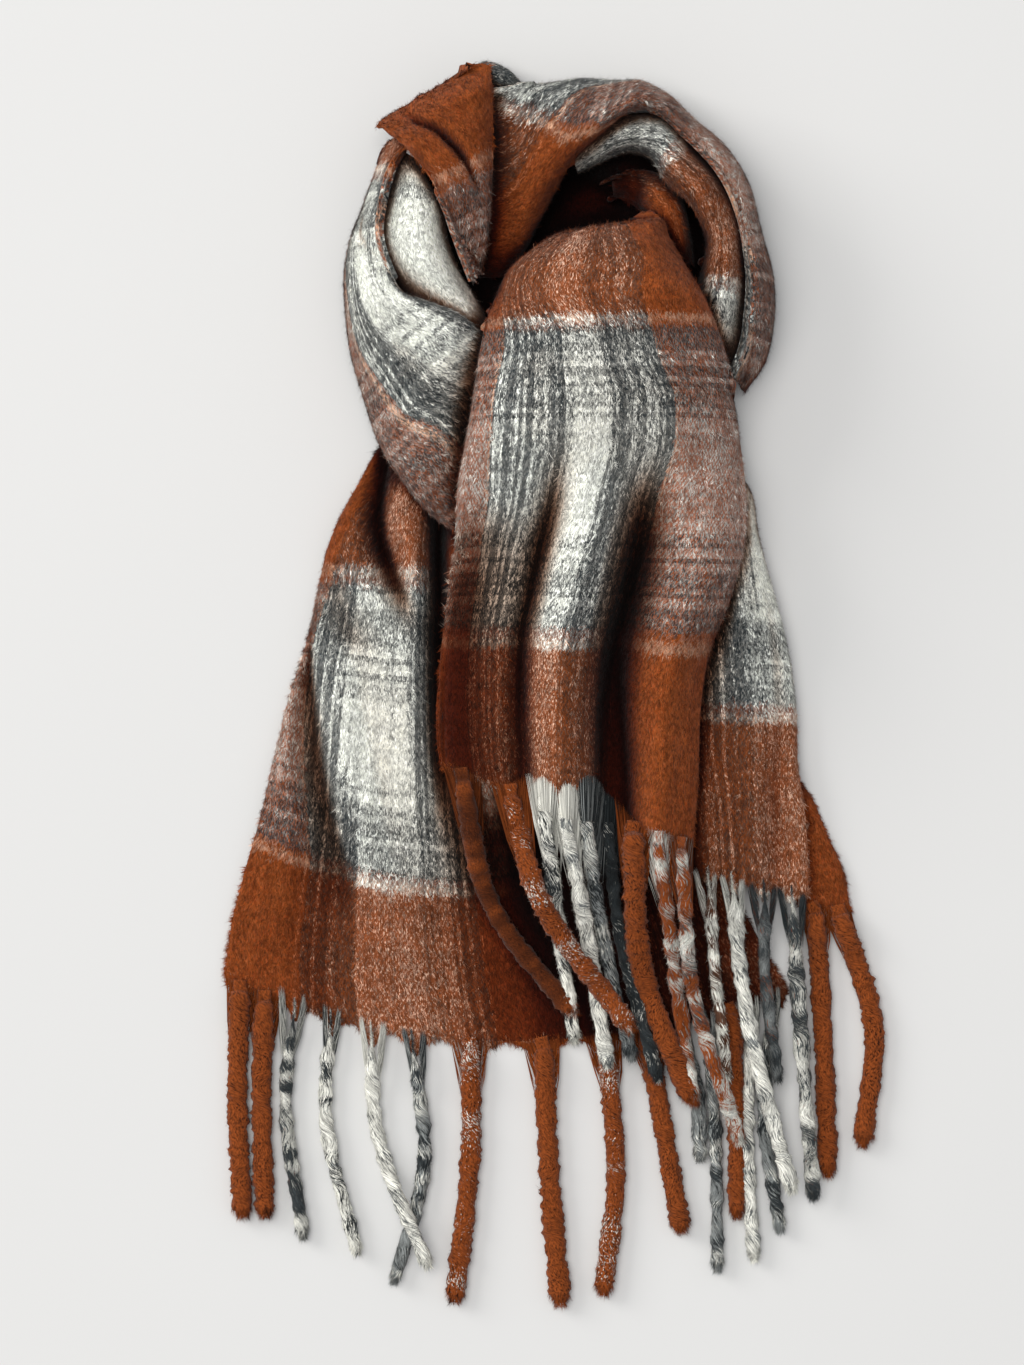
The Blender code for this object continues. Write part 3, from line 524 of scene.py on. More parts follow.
    def stripe(self, node: Add, place: Socket, luck: Node) -> Stripe:
        """Work out the thread at a place in the sett.

        Args:
          node: adds a node to the material.
          place: socket with the place along the sett.
          luck: the thread's own random number.

        Returns:
          The thread.
        """
        yarns = [(at, (*linear(yarn.value)[:3], cover)) for at, yarn, cover in SETT]
        base = self.look_up(node, place, yarns, "CONSTANT")
        shares = [(at, (share, share, share, 1.0)) for at, share in SLATE_SHARE]
        slate = self.look_up(node, place, shares, "LINEAR")
        over = node("Math", (slate, luck), operation="SUBTRACT")
        dark = node("MapRange", (over, *Span(0.0, self.slate_edge)))
        mixed = node("Mix", {0: dark, 6: base, 7: linear(Yarn.SLATE.value)}, data_type="RGBA")
        return Stripe(mixed.outputs[2], base.outputs["Alpha"], dark.outputs[0])

    def look_up(
            self, node: Add, place: Socket, stops: list[tuple[float, tuple[float, ...]]],
            ease: str) -> Node:
        """Read what a table of the sett holds at a place, in whichever repeat it lies.

        Args:
          node: adds a node to the material.
          place: socket with the place along the sett.
          stops: places and their colours.
          ease: how the colour goes from stop to stop.

        Returns:
          The node with the colour and its alpha.
        """
        turns = node("Math", (place, 1.0 / SETT_REPEAT, 0.5), operation="MULTIPLY_ADD")
        share = node("Math", (turns,), operation="FRACT")
        table = node("ValToRGB", (share,))
        table.color_ramp.interpolation = ease
        elements = table.color_ramp.elements
        while len(elements) < len(stops):
            elements.new(1.0)
        for element, (position, colour) in zip(elements, stops):
            element.position = 0.5 + position / SETT_REPEAT
            element.color = colour
        return table

    def crossings(self, node: Add, weave: Node, lucks: Node) -> Node:
        """Say how far the warp lies on top: each thread hides every second one that it crosses.

        Args:
          node: adds a node to the material.
          weave: the places in the weave.
          lucks: the streaks' three random numbers.

        Returns:
          The node with how far the warp lies on top.
        """
        counted = node("Mapping", {"Vector": weave, "Scale": (1000 / self.thread[0], 1000 / self.thread[1],
            1.0)})
        threads = node("SeparateXYZ", (counted,))
        waves = (node("Math", (threads.outputs[axis], math.pi), operation="MULTIPLY") for axis in "XY")
        crossing = node("Math", tuple(node("Math", (wave,), operation="SINE") for wave in waves),
                        operation="MULTIPLY")
        lean = node("MapRange", (lucks.outputs["Red"], *self.crossing_luck), clamp=False)
        return node("Math", (crossing, self.crossing, lean), operation="MULTIPLY_ADD")

@dataclass(frozen=True)
class TwistedYarn(Wool):
    """Two-ply twisted wool yarn: two soft plies wound round each other, with brushed streaks."""

    name: str = "twisted_wool_fringe_yarn"
    sheen: float = 0.10
    relief: float = 0.8
    streak: Pair = (0.9, 6.5)  # width and length of the streaks along a ply
    ragged: float = 0.12  # how far the plies' own numbers move the edge between them
    # Factor and start that turn the second yarn's share to the level of the streaks that cuts it off.
    second: Pair = (0.40, 0.30)
    side_edge: float = 0.03  # half width of the edge between the plies' colours
    flecks: Pair = (-0.40, 0.70)  # the same as second, for the flecks, which lie in the highest numbers
    # How soft a fleck's edge is, and how far a fleck covers.
    fleck_edge: Span = Span(0.0, 0.05, 0.0, 0.85)
    streaks: Span = Span(0.36, 0.62, 0.44, 1.15)  # how dark and how light the streaks are

    def make(self) -> Material:
        """Build the material.

        Returns:
          The finished material, which reads the strand's plies from its attributes.
        """
        material = self.start()
        tree = material.node_tree
        node = partial(add_node, tree)
        shader = tree.nodes["Principled BSDF"]
        names = ("ply_one", "ply_two", "fleck", "helix", "strand")
        one, two, fleck, helix, strand = (node("Attribute", attribute_name=name) for name in names)
        parts = node("SeparateXYZ", (helix.outputs["Vector"],))
        along = node("Mapping", {"Vector": strand.outputs["Vector"],
            "Scale": (1 / self.streak[0], 1 / self.streak[0], 1 / self.streak[1])})
        noise = node("TexNoise", {"Vector": along, "Scale": 1.0, "Detail": 1.5, "Roughness": 0.6})
        lucks = node("SeparateColor", (noise.outputs["Color"],))
        ragged = node("Math", (parts.outputs["X"], self.ragged, lucks.outputs["Red"]),
            operation="MULTIPLY_ADD")
        level = node("Math", (two.outputs["Alpha"], *self.second), operation="MULTIPLY_ADD")
        under = node("Math", (level, ragged), operation="SUBTRACT")
        side = node("MapRange", (under, *Span(-self.side_edge, self.side_edge)))
        plies = node("Mix", {0: side, 6: one.outputs["Color"], 7: two.outputs["Color"]}, data_type="RGBA")
        bar = node("Math", (fleck.outputs["Alpha"], *self.flecks), operation="MULTIPLY_ADD")
        over = node("Math", (lucks.outputs["Blue"], bar), operation="SUBTRACT")
        flecked = node("MapRange", (over, *self.fleck_edge))
        yarn = node("Mix", {0: flecked, 6: plies.outputs[2], 7: fleck.outputs["Color"]}, data_type="RGBA")
        light = node("MapRange", (noise.outputs["Fac"], *self.streaks))
        # The helix's second number darkens the yarn: painted shade in the grooves on the skin, and a tone at
        # random on the fibres and loose ends.
        grooved = node("Math", (light, parts.outputs["Y"]), operation="MULTIPLY")
        lit = node("VectorMath", {0: yarn.outputs[2], "Scale": grooved}, operation="SCALE")
        tree.links.new(lit.outputs[0], shader.inputs["Base Color"])
        self.raise_streaks(node, tree, noise)
        return material


@dataclass(frozen=True)
class PaintedBoard:
    """Matt painted board under the scarf: an even, warm white that takes soft shadows."""

    name: str = "matt_painted_board"  # name of the material
    colour: str = "DFDFDE"  # sRGB hex value of the paint
    clouds: float = 3.0  # how many soft, hardly seen clouds of tone lie in a metre
    tone: Span = Span(0.0, 1.0, 0.985, 1.01)  # how dark and how light they are
    roughness: float = 0.9  # matt paint
    specular: float = 0.1  # its faint shine

    def make(self) -> Material:
        """Build the material.

        Returns:
          The finished material.
        """
        material = bpy.data.materials.new(self.name)
        material.use_nodes = True
        tree = material.node_tree
        node = partial(add_node, tree)
        shader = tree.nodes["Principled BSDF"]
        coordinates = node("TexCoord")
        grain = node("TexNoise", {"Vector": coordinates.outputs["Object"], "Scale": self.clouds,
            "Detail": 2.0})
        tone = node("MapRange", (grain.outputs["Fac"], *self.tone))
        lit = node("VectorMath", {0: linear(self.colour)[:3], "Scale": tone}, operation="SCALE")
        tree.links.new(lit.outputs[0], shader.inputs["Base Color"])
        shader.inputs["Roughness"].default_value = self.roughness
        shader.inputs["Specular IOR Level"].default_value = self.specular
        return material


# ------------------------------ curves, grids and the pile

def through(values: Array, places: Array, samples: Array) -> Array:
    """Read a smooth curve through rows of values.

    Args:
      values: one row for each place.
      places: rising places of the rows.
      samples: places to read.

    Returns:
      One row for each sample.
    """
    slopes = np.gradient(values, places, axis=0)
    index = np.clip(np.searchsorted(places, samples, side="right") - 1, 0, len(places) - 2)
    span = (places[index + 1] - places[index])[:, None]
    t = (samples - places[index])[:, None] / span
    low, high = values[index], values[index + 1]
    rise_low, rise_high = slopes[index] * span, slopes[index + 1] * span
    t2, t3 = t * t, t * t * t
    return ((2 * t3 - 3 * t2 + 1) * low + (t3 - 2 * t2 + t) * rise_low + (3 * t2 - 2 * t3) * high
        + (t3 - t2) * rise_high)


def smooth_step(low: float, high: float, value: Any) -> Any:
    """Ease from 0 at low to 1 at high."""
    t = np.clip((value - low) / (high - low), 0.0, 1.0)
    return t * t * (3 - 2 * t)


def running_mean(values: Array, half: int) -> Array:
    """Mean of each value and its neighbours, up to half places away."""
    window = 2 * half + 1
    return np.convolve(np.pad(values, half, mode="edge"), np.ones(window) / window, mode="valid")


def unit(vectors: Array) -> Array:
    """Vectors of length 1 in the directions of the last axis."""
    return vectors / np.maximum(np.linalg.norm(vectors, axis=-1, keepdims=True), 1e-9)


def lengths(points: Array) -> Array:
    """Running length along a row of points."""
    return np.concatenate([[0.0], np.cumsum(np.linalg.norm(np.diff(points, axis=0), axis=1))])


def even_steps(points: Array, count: int) -> Array:
    """Points at equal distances along a polyline.

    Args:
      points: the polyline.
      count: how many points to return.

    Returns:
      The evenly spaced points.
    """
    length = lengths(points)
    wanted = np.linspace(0.0, length[-1], count)
    return np.stack([np.interp(wanted, length, points[:, k]) for k in range(3)], axis=1)


def grid_directions(grid: Array) -> tuple[Array, Array, Array]:
    """Unit directions of a grid of points.

    Args:
      grid: rows along the warp, columns across it.

    Returns:
      The directions along the warp and across it, and the normal, turned upwards.
    """
    along, across = np.gradient(grid, axis=0), np.gradient(grid, axis=1)
    normal = np.cross(across, along)
    if normal[:, normal.shape[1] // 2, 2].mean() < 0:
        normal = -normal
    return unit(along), unit(across), unit(normal)


def cell_areas(grid: Array) -> Array:
    """Area of each cell of a grid of points."""
    down, side = grid[1:, :-1] - grid[:-1, :-1], grid[:-1, 1:] - grid[:-1, :-1]
    return np.linalg.norm(np.cross(down, side), axis=2)


def grid_faces(number: Array) -> tuple[Array, Array]:
    """Faces and rim of a grid.

    Args:
      number: the grid's point numbers.

    Returns:
      The corners of its cells, and the points round its rim.
    """
    quads = np.stack([number[:-1, :-1], number[1:, :-1], number[1:, 1:], number[:-1, 1:]], axis=-1)
    rim = np.concatenate([number[0, :-1], number[:-1, -1], number[-1, :0:-1], number[:0:-1, 0]])
    return quads.reshape(-1, 4), rim


def blend(table: Array, low: Array, high: Array, part: Array) -> Array:
    """Read a table between its cells.

    Args:
      table: the values.
      low: the lower cell at each place, each way.
      high: the upper cell.
      part: how far the place lies from the one to the other.

    Returns:
      One value for each place.
    """
    i, j, i2, j2, s, t = low[..., 0], low[..., 1], high[..., 0], high[..., 1], part[..., 0], part[..., 1]
    return ((1 - s) * (1 - t) * table[i, j] + s * (1 - t) * table[i2, j]
            + (1 - s) * t * table[i, j2] + s * t * table[i2, j2])


class Hollow(NamedTuple):
    """Painted shade: how far a place that lies lower than the mean within reach is darkened."""

    reach: int
    shallow: float
    deep: float
    loss: float


@dataclass
class Pile:
    """Height map of what has been laid so far, on a 1 mm grid."""

    low: Pair = (-230.0, -400.0)  # its lower left corner
    shape: tuple[int, int] = (461, 801)  # how many cells it has each way
    finest: float = 0.7  # largest step between the points that raise it
    bare: float = 0.05  # height below which a cell counts as bare
    # Painted shade: how far folds and holes of three sizes are darkened.
    hollows: tuple[Hollow, ...] = (Hollow(5, 0.2, 5.0, 0.50), Hollow(14, 0.3, 11.0, 0.74),
        Hollow(30, 3.0, 28.0, 0.6))
    ridge: float = 0.12  # painted highlight: how much lighter a ridge is painted
    # Height over the mean at which a ridge's painted highlight starts and is at its lightest.
    ridge_height: Pair = (0.5, 8.0)
    top: Array = field(init=False)  # the heights

    def __post_init__(self) -> None:
        """Start with the bare surface."""
        self.top = np.zeros(self.shape)

    def add_grid(self, grid: Array) -> None:
        """Raise the map to a grid of points.

        Args:
          grid: rows and columns of points.
        """
        corner, down = grid[:-1, :-1], grid[1:, :-1] - grid[:-1, :-1]
        side, diagonal = grid[:-1, 1:] - corner, grid[1:, 1:]
        twist = diagonal - corner - down - side
        step = max(np.abs(down).max(), np.abs(side).max())
        count = int(math.ceil(step / self.finest)) + 1
        for s in np.linspace(0.0, 1.0, count):
            for t in np.linspace(0.0, 1.0, count):
                points = (corner + s * down + t * side + s * t * twist).reshape(-1, 3)
                cell = np.clip(np.rint(points[:, :2] - self.low).astype(int), 0, np.array(self.shape) - 1)
                np.maximum.at(self.top, (cell[:, 0], cell[:, 1]), points[:, 2])

    def spread(self, reach: float, soften: int) -> Array:
        """Heights within reach of each cell, with soft shoulders.

        Args:
          reach: how far a high place counts.
          soften: half width of the softening.

        Returns:
          The widened map.
        """
        wide = self.top.copy()
        steps = int(math.ceil(reach + soften))
        for dx in range(-steps, steps + 1):
            for dy in range(-steps, steps + 1):
                if dx * dx + dy * dy <= (reach + soften) ** 2:
                    np.maximum(wide, np.roll(self.top, (dx, dy), axis=(0, 1)), out=wide)
        for axis in (0, 1) if soften else ():
            wide = sum(np.roll(wide, k, axis=axis) for k in range(-soften, soften + 1)) / (2 * soften + 1)
        return wide

    def rest_height(self, xy: Array, reach: float, soften: int = 0) -> Array:
        """Height at which something rests, just above what lies within reach.

        Args:
          xy: places.
          reach: how far a high place counts.
          soften: half width of the softening.

        Returns:
          The height at each place.
        """
        height = self.read(self.spread(reach, soften), xy)
        return np.where(height > self.bare, height + SEAT_GAP, 0.0)

    def mean_height(self, reach: int) -> Array:
        """Mean height of the square within reach of each cell.

        Args:
          reach: half width of the square.

        Returns:
          The map of means.
        """
        mean, window = self.top, 2 * reach + 1
        for axis in (0, 1):
            margins = [(reach + 1, reach) if k == axis else (0, 0) for k in (0, 1)]
            total = np.cumsum(np.pad(mean, margins, mode="edge"), axis=axis)
            last = np.take(total, range(window, total.shape[axis]), axis=axis)
            first = np.take(total, range(total.shape[axis] - window), axis=axis)
            mean = (last - first) / window
        return mean

    def openness(self, points: Array) -> Array:
        """How open each point lies, as painted shade: cloth in a fold or a hole is painted darker, and cloth
        on a ridge a little lighter.

        Args:
          points: places on the cloth.

        Returns:
          From about 0.1 deep in a hole to 1 on a plain and a little more on a ridge.
        """
        open_share = np.ones(len(points))
        for hollow in self.hollows:
            above = self.read(self.mean_height(hollow.reach), points[:, :2]) - points[:, 2]
            open_share *= 1 - hollow.loss * smooth_step(hollow.shallow, hollow.deep, above)
            open_share *= 1 + self.ridge * smooth_step(*self.ridge_height, -above)
        return open_share

    def read(self, heights: Array, xy: Array) -> Array:
        """Read a map between its cells."""
        place = np.clip(xy - self.low, 0.0, np.array(self.shape) - 1.001)
        cell = np.floor(place).astype(int)
        part = place - cell
        return blend(heights, cell, cell + 1, part)


def gentle_noise(places: Array, seed: int) -> Array:
    """Smooth seeded noise between -1 and 1.

    Args:
      places: places in the noise's own cells; the last axis holds x and y.
      seed: number of the pattern.

    Returns:
      One value for each place.
    """
    size = 64
    table = np.random.default_rng(seed).uniform(-1.0, 1.0, (size, size))
    cell = np.floor(places).astype(int)
    part = places - cell
    part = part * part * (3 - 2 * part)
    return blend(table, cell % size, (cell + 1) % size, part)


def noise_along(run: Array, cell: float, start: Pair, seed: int) -> Array:
    """Smooth seeded noise along a line.

    Args:
      run: places along the line.
      cell: size of the noise's cells.
      start: place in the noise, in cells, where the line starts.
      seed: number of the pattern.

    Returns:
      One value between -1 and 1 for each place.
    """
    return gentle_noise(np.stack([run / cell + start[0], np.full_like(run, start[1])], axis=1), seed)


def build_object(
        name: str, points: Array, faces: list[Array], material: Material,
        maps: Optional[dict[str, Array]] = None) -> Object:
    """Make a smooth-shaded mesh object from points.

    Args:
      name: the piece's name.
      points: one row for each point.
      faces: arrays of point numbers, one array for each count of corners.
      material: the material of the piece.
      maps: UV maps, with a place in millimetres for each point.

    Returns:
      The new object, riding on the scarf.
    """
    mesh = bpy.data.meshes.new(name)
    shift = np.array([*ORIGIN_SHIFT, 0.0])
    corners = np.concatenate([group.ravel() for group in faces]).astype(np.int32)
    counts = np.concatenate([np.full(len(group), group.shape[1]) for group in faces])
    starts = np.concatenate([[0], np.cumsum(counts)[:-1]]).astype(np.int32)
    mesh.vertices.add(len(points))
    mesh.vertices.foreach_set("co", ((points + shift) * MM).astype(np.float32).ravel())
    mesh.loops.add(len(corners))
    mesh.loops.foreach_set("vertex_index", corners)
    mesh.polygons.add(len(counts))
    mesh.polygons.foreach_set("loop_start", starts)
    mesh.update(calc_edges=True)
    for title, uv in (maps or {}).items():
        layer = mesh.uv_layers.new(name=title)
        layer.data.foreach_set("uv", (uv[corners] * MM).astype(np.float32).ravel())
    mesh.materials.append(material)
    mesh.polygons.foreach_set("use_smooth", np.ones(len(counts), bool))
    made = bpy.data.objects.new(name, mesh)
    bpy.context.scene.collection.objects.link(made)
    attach(made, "root")
    return made


def set_attribute(made: Object, name: str, kind: str, values: Array) -> None:
    """Store a value for each point of a mesh.

    Args:
      made: the mesh object.
      name: name of the attribute.
      kind: its type.
      values: one row for each point.
    """
    attribute = made.data.attributes.new(name, kind, "POINT")
    key = {"FLOAT_COLOR": "color", "FLOAT_VECTOR": "vector", "FLOAT": "value"}[kind]
    attribute.data.foreach_set(key, values.astype(np.float32).ravel())


# Painted shade: a place pressed into a crease is painted darker from its first depth to its second, and a
# raised one gets a little painted highlight. The brightest place is capped.
CREASE_SHADE = ((2.0, 20.0, 0.55), (20.0, 26.0, 0.60))
RAISED_SHADE = (1.0, 8.0, 0.12)
BRIGHTEST = 1.07
RIM_SHADE_DEPTH = 18.0               # painted shade on the rim, which turns under: it is darkened as if pressed this deep


def shade_hollows(made: Object, pile: Pile, every: int = 1, pressed: Optional[Array] = None) -> None:
    """Store how open each point of a piece lies, as painted shade in its attribute "hollow".

    Args:
      made: the piece.
      pile: everything that has been laid.
      every: points that share the first one's value, as in a fibre.
      pressed: how far each point, or group of points, is pressed into a crease.
    """
    points = np.zeros(len(made.data.vertices) * 3, np.float32)
    made.data.vertices.foreach_get("co", points)
    places = points.reshape(-1, 3) / MM - np.array([*ORIGIN_SHIFT, 0.0])
    open_share = pile.openness(places[::every])
    if pressed is not None:
        for shallow, deep, loss in CREASE_SHADE:
            open_share = open_share * (1 - loss * smooth_step(shallow, deep, -pressed))
        low, high, gain = RAISED_SHADE
        open_share = open_share * (1 + gain * smooth_step(low, high, pressed))
    set_attribute(made, "hollow", "FLOAT", np.repeat(np.minimum(open_share, BRIGHTEST), every))


# ------------------------------ cloth

def crease_depth(across: Array, along: Array, creases: list[tuple[float, ...]]) -> Array:
    """Sum of all creases at each place of a stretch.

    Args:
      across: places across, from -1 to 1.
      along: places along, from 0 to 1.
      creases: the creases of the stretch.

    Returns:
      How far each place is raised.
    """
    depth = np.zeros_like(across)
    for crease in (Crease(*row) for row in creases):
        t = (along - crease.along_start) / (crease.along_end - crease.along_start)
        centre = crease.across_start + (crease.across_end - crease.across_start) * np.clip(t, 0, 1)
        fade = smooth_step(-0.05, 0.35, t)
        # A crease that reaches the hem runs out over it; any other one fades before its end.
        if crease.along_end < 1.0:
            fade = fade * (1 - smooth_step(0.65, 1.05, t))
        depth += crease.depth * fade * np.exp(-((across - centre) / crease.width) ** 2)
    return depth


class Wall(NamedTuple):
    """A laid stretch: its outer and inner grids, its places in the sett and in its own weave, and
    how far each place is pressed into a crease.
    """

    outer: Array
    inner: Array
    sett: Array
    weave: Array
    pressed: Array


@dataclass
class Stretch:
    """One stretch of the scarf's cloth."""

    node: str  # the solid that it stands for
    slot: Slot  # the record's material slot
    sections: list[tuple[float, ...]]  # numbers of the sections across it, from its start to its hem
    flat: Pair  # width and length of its cut, in metres
    warp: tuple[Pair, ...]  # places across it (-1 to 1) and their millimetres in the sett
    weft: tuple[Pair, ...]  # the same along it (0 to 1)
    creases: list[tuple[float, ...]] = field(default_factory=list)  # numbers of its troughs and ridges
    fullness: float = 2.2  # how square the section's arch is
    reach: float = 3.0  # how far it rests on what lies beside it
    warp_lean: float = 0.0  # how far the warp's stripes drift across as the stretch runs on
    lean_start: float = 0.0  # where along the stretch they start to drift
    lean_end: float = 1.0  # where they stop
    lean_middle: float = 0.7  # where along it the warp's table holds
    lean_ease: float = 0.35  # length over which the drift sets in
    weft_lean: float = 0.0  # how far the weft's stripes run askew
    nap: float = 0.52  # tufts of raised fibres for each square millimetre
    held: str = "laid"
    soften: int = 2  # half width over which what lies below is smoothed
    # How far a crease moves the cloth; mostly up, so that it doesn't push the stripes aside.
    crease_way: Triple = (0.35, 0.35, 1.0)
    ripple: float = 0.55  # height of the cloth's gentle unevenness
    ripple_cell: Pair = (11.0, 26.0)  # its size across and along the warp
    rim_swell: float = 0.3  # how far the rim's middle stands out
    least_rise: float = 9.0  # the least height of its arch over its seated edges
    # Reach and softening with which its edges rest, and how many rows even them out.
    edge_seat: tuple[float, int, int] = (1.0, 3, 4)
    cove: float = 6.0  # height over which it rounds off where it comes to rest on a layer
    close: float = 1.2  # how near its inner side comes to a layer before it lies on it, in walls
    thinnest: float = 0.6  # the least wall, in walls
    ply_shift: float = 2.4  # how far the weave of the inner side is off the outer side's

    def lay(self, pile: Pile) -> Wall:
        """Lay the stretch on the pile.

        Args:
          pile: what lies underneath; it is raised by this stretch.

        Returns:
          The wall of cloth.
        """
        table = np.array([(*row, 0.0)[:8] for row in self.sections], float)
        places = lengths((table[:, 0:2] + table[:, 3:5]) / 2)
        length = places[-1]
        angle = np.linspace(-math.pi / 2, math.pi / 2, 241)
        sideways = np.sign(np.sin(angle)) * np.abs(np.sin(angle)) ** (2 / self.fullness)
        upwards = np.abs(np.cos(angle)) ** (2 / self.fullness)
        widest = max(lengths(self.section(row, sideways, upwards))[-1] for row in table)
        columns = int(round(widest / GRID_STEP)) + 1
        samples = np.linspace(0.0, length, int(round(length / GRID_STEP)) + 1)
        rows = self.seat_edges(through(table, places, samples), pile)
        grid = np.stack([even_steps(self.section(row, sideways, upwards), columns) for row in rows])
        across, along = np.meshgrid(np.linspace(-1, 1, columns), samples / length)
        pressed = crease_depth(across, along, self.creases)
        normal = grid_directions(grid)[2]
        grid += normal * np.array(self.crease_way) * pressed[..., None]
        cells = np.stack([across * widest / 2 / self.ripple_cell[0], along * length / self.ripple_cell[1]],
            axis=2)
        grid += normal * (self.ripple * gentle_noise(cells + 40, SEED + len(self.node)))[..., None]
        outer, inner = self.settle(grid, pile)
        pile.add_grid(outer)
        leaning = smooth_step(self.lean_start - self.lean_ease, self.lean_start, along)
        drift = np.clip(along, self.lean_start, self.lean_end) - self.lean_middle
        warp_place = across + self.warp_lean * drift * leaning
        weft_place = along + self.weft_lean * across
        sett = np.stack([self.in_sett(self.warp, warp_place), self.in_sett(self.weft, weft_place)], axis=2)
        weave = np.stack([across * widest / 2, along * length], axis=2) + WEAVE_SHIFT
        return Wall(outer, inner, sett, weave, pressed)

    def section(self, row: Array, sideways: Array, upwards: Array) -> Array:
        """Points of a section from its left edge to its right edge.

        Args:
          row: the section's numbers.
          sideways: places between the edges, from -1 to 1.
          upwards: share of the rise at each.

        Returns:
          One point for each place.
        """
        t = (1 + sideways)[:, None] / 2
        curve = (1 - t) * row[0:3] + t * row[3:6]
        curve[:, 2] += row[6] * upwards
        chord = (row[3:5] - row[0:2]) / np.linalg.norm(row[3:5] - row[0:2])
        curve[:, 0] += row[7] * (1 - sideways ** 2) * chord[1]
        curve[:, 1] -= row[7] * (1 - sideways ** 2) * chord[0]
        return curve

    def seat_edges(self, rows: Array, pile: Pile) -> Array:
        """Lift the edges on to what lies below them, and keep the top of each arch where it is.

        Args:
          rows: the finely spaced sections.
          pile: what lies underneath.

        Returns:
          The same sections with their edges seated.
        """
        reach, soften, half = self.edge_seat
        peak = (rows[:, 2] + rows[:, 5]) / 2 + rows[:, 6]
        for edge in (0, 3):
            seat = running_mean(pile.rest_height(rows[:, edge:edge + 2], reach, soften) + CLOTH_WALL, half)
            rows[:, edge + 2] = np.maximum(rows[:, edge + 2], np.minimum(seat, peak - self.least_rise))
        rows[:, 6] = np.maximum(peak - (rows[:, 2] + rows[:, 5]) / 2, np.minimum(rows[:, 6], self.least_rise))
        return rows

    def settle(self, grid: Array, pile: Pile) -> tuple[Array, Array]:
        """Rest the cloth on what lies below, with a wall that stays whole.

        Args:
          grid: its outer side.
          pile: what lies underneath.

        Returns:
          The outer and the inner side.
        """
        support = pile.rest_height(grid[..., :2], self.reach, self.soften) + CLOTH_WALL
        near = np.maximum(self.cove - np.abs(grid[..., 2] - support), 0.0)
        grid[..., 2] = np.maximum(grid[..., 2], support) + near ** 2 / (4 * self.cove)
        inner = grid - grid_directions(grid)[2] * CLOTH_WALL
        support = pile.rest_height(inner[..., :2], self.reach, self.soften)
        inner[..., 2] = np.maximum(inner[..., 2], support)
        lies = inner[..., 2] < support + CLOTH_WALL * self.close
        lies[:, 1:-1] = False
        inner[..., 2] = np.where(lies, support, inner[..., 2])
        grid[..., 2] = np.maximum(grid[..., 2], inner[..., 2] + CLOTH_WALL * self.thinnest)
        return grid, inner

    def in_sett(self, table: tuple[Pair, ...], places: Array) -> Array:
        """Read a placement table, going on in a straight line beyond its ends.

        Args:
          table: places and their millimetres in the sett.
          places: places to read.

        Returns:
          The millimetre in the sett at each place.
        """
        at, sett = np.array(table, float).T
        low_slope = (sett[1] - sett[0]) / (at[1] - at[0])
        high_slope = (sett[-1] - sett[-2]) / (at[-1] - at[-2])
        inside = np.interp(places, at, sett)
        before = np.where(places < at[0], sett[0] + (places - at[0]) * low_slope, inside)
        return np.where(places > at[-1], sett[-1] + (places - at[-1]) * high_slope, before)

    def spread_pressed(self, wall: Wall) -> Array:
        """How far each point of the piece is pressed in: outer side, inner side and rim; the rim's value only
        sets its painted shade.
        """
        pressed = wall.pressed.ravel()
        rows, columns = wall.pressed.shape
        return np.concatenate([pressed, pressed, np.full(2 * (rows + columns) - 4, -RIM_SHADE_DEPTH)])

    def build(self, wall: Wall, material: Material) -> Object:
        """Make the cloth: outer side, rounded rim and inner side as one closed wall.

        Args:
          wall: the laid stretch.
          material: the cloth's material.

        Returns:
          The piece.
        """
        below = wall.pressed.size
        quads, rim = grid_faces(np.arange(below).reshape(wall.pressed.shape))
        outer, inner = wall.outer.reshape(-1, 3), wall.inner.reshape(-1, 3)
        middle = (outer[rim] + inner[rim]) / 2
        ahead = np.roll(middle, -1, axis=0) - np.roll(middle, 1, axis=0)
        out = unit(np.stack([ahead[:, 1], -ahead[:, 0]], axis=1))
        centre = outer[:, :2].mean(axis=0)
        if np.mean(np.sum(out * (middle[:, :2] - centre), axis=1)) < 0:
            out = -out
        middle[:, :2] += out * self.rim_swell
        ring = 2 * below + np.arange(len(rim))
        after = np.roll(np.arange(len(rim)), -1)
        sides = np.concatenate([np.stack([rim, rim[after], ring[after], ring], axis=1),
            np.stack([ring, ring[after], rim[after] + below, rim + below], axis=1)])
        sett, weave = wall.sett.reshape(-1, 2), wall.weave.reshape(-1, 2)
        return build_object(f"{self.node}_cloth", np.concatenate([outer, inner, middle]),
            [quads, quads[:, ::-1] + below, sides], material, {"cloth": np.concatenate([sett, sett,
            sett[rim]]), "weave": np.concatenate([weave, weave + self.ply_shift,
            weave[rim] + self.ply_shift / 2])})


class Roots(NamedTuple):
    """Where fibres grow: their places, the cloth's directions there, and what the cloth holds."""

    place: Array
    down: Array
    side: Array
    up: Array
    sett: Array
    weave: Array
    pressed: Array
    outwards: Array


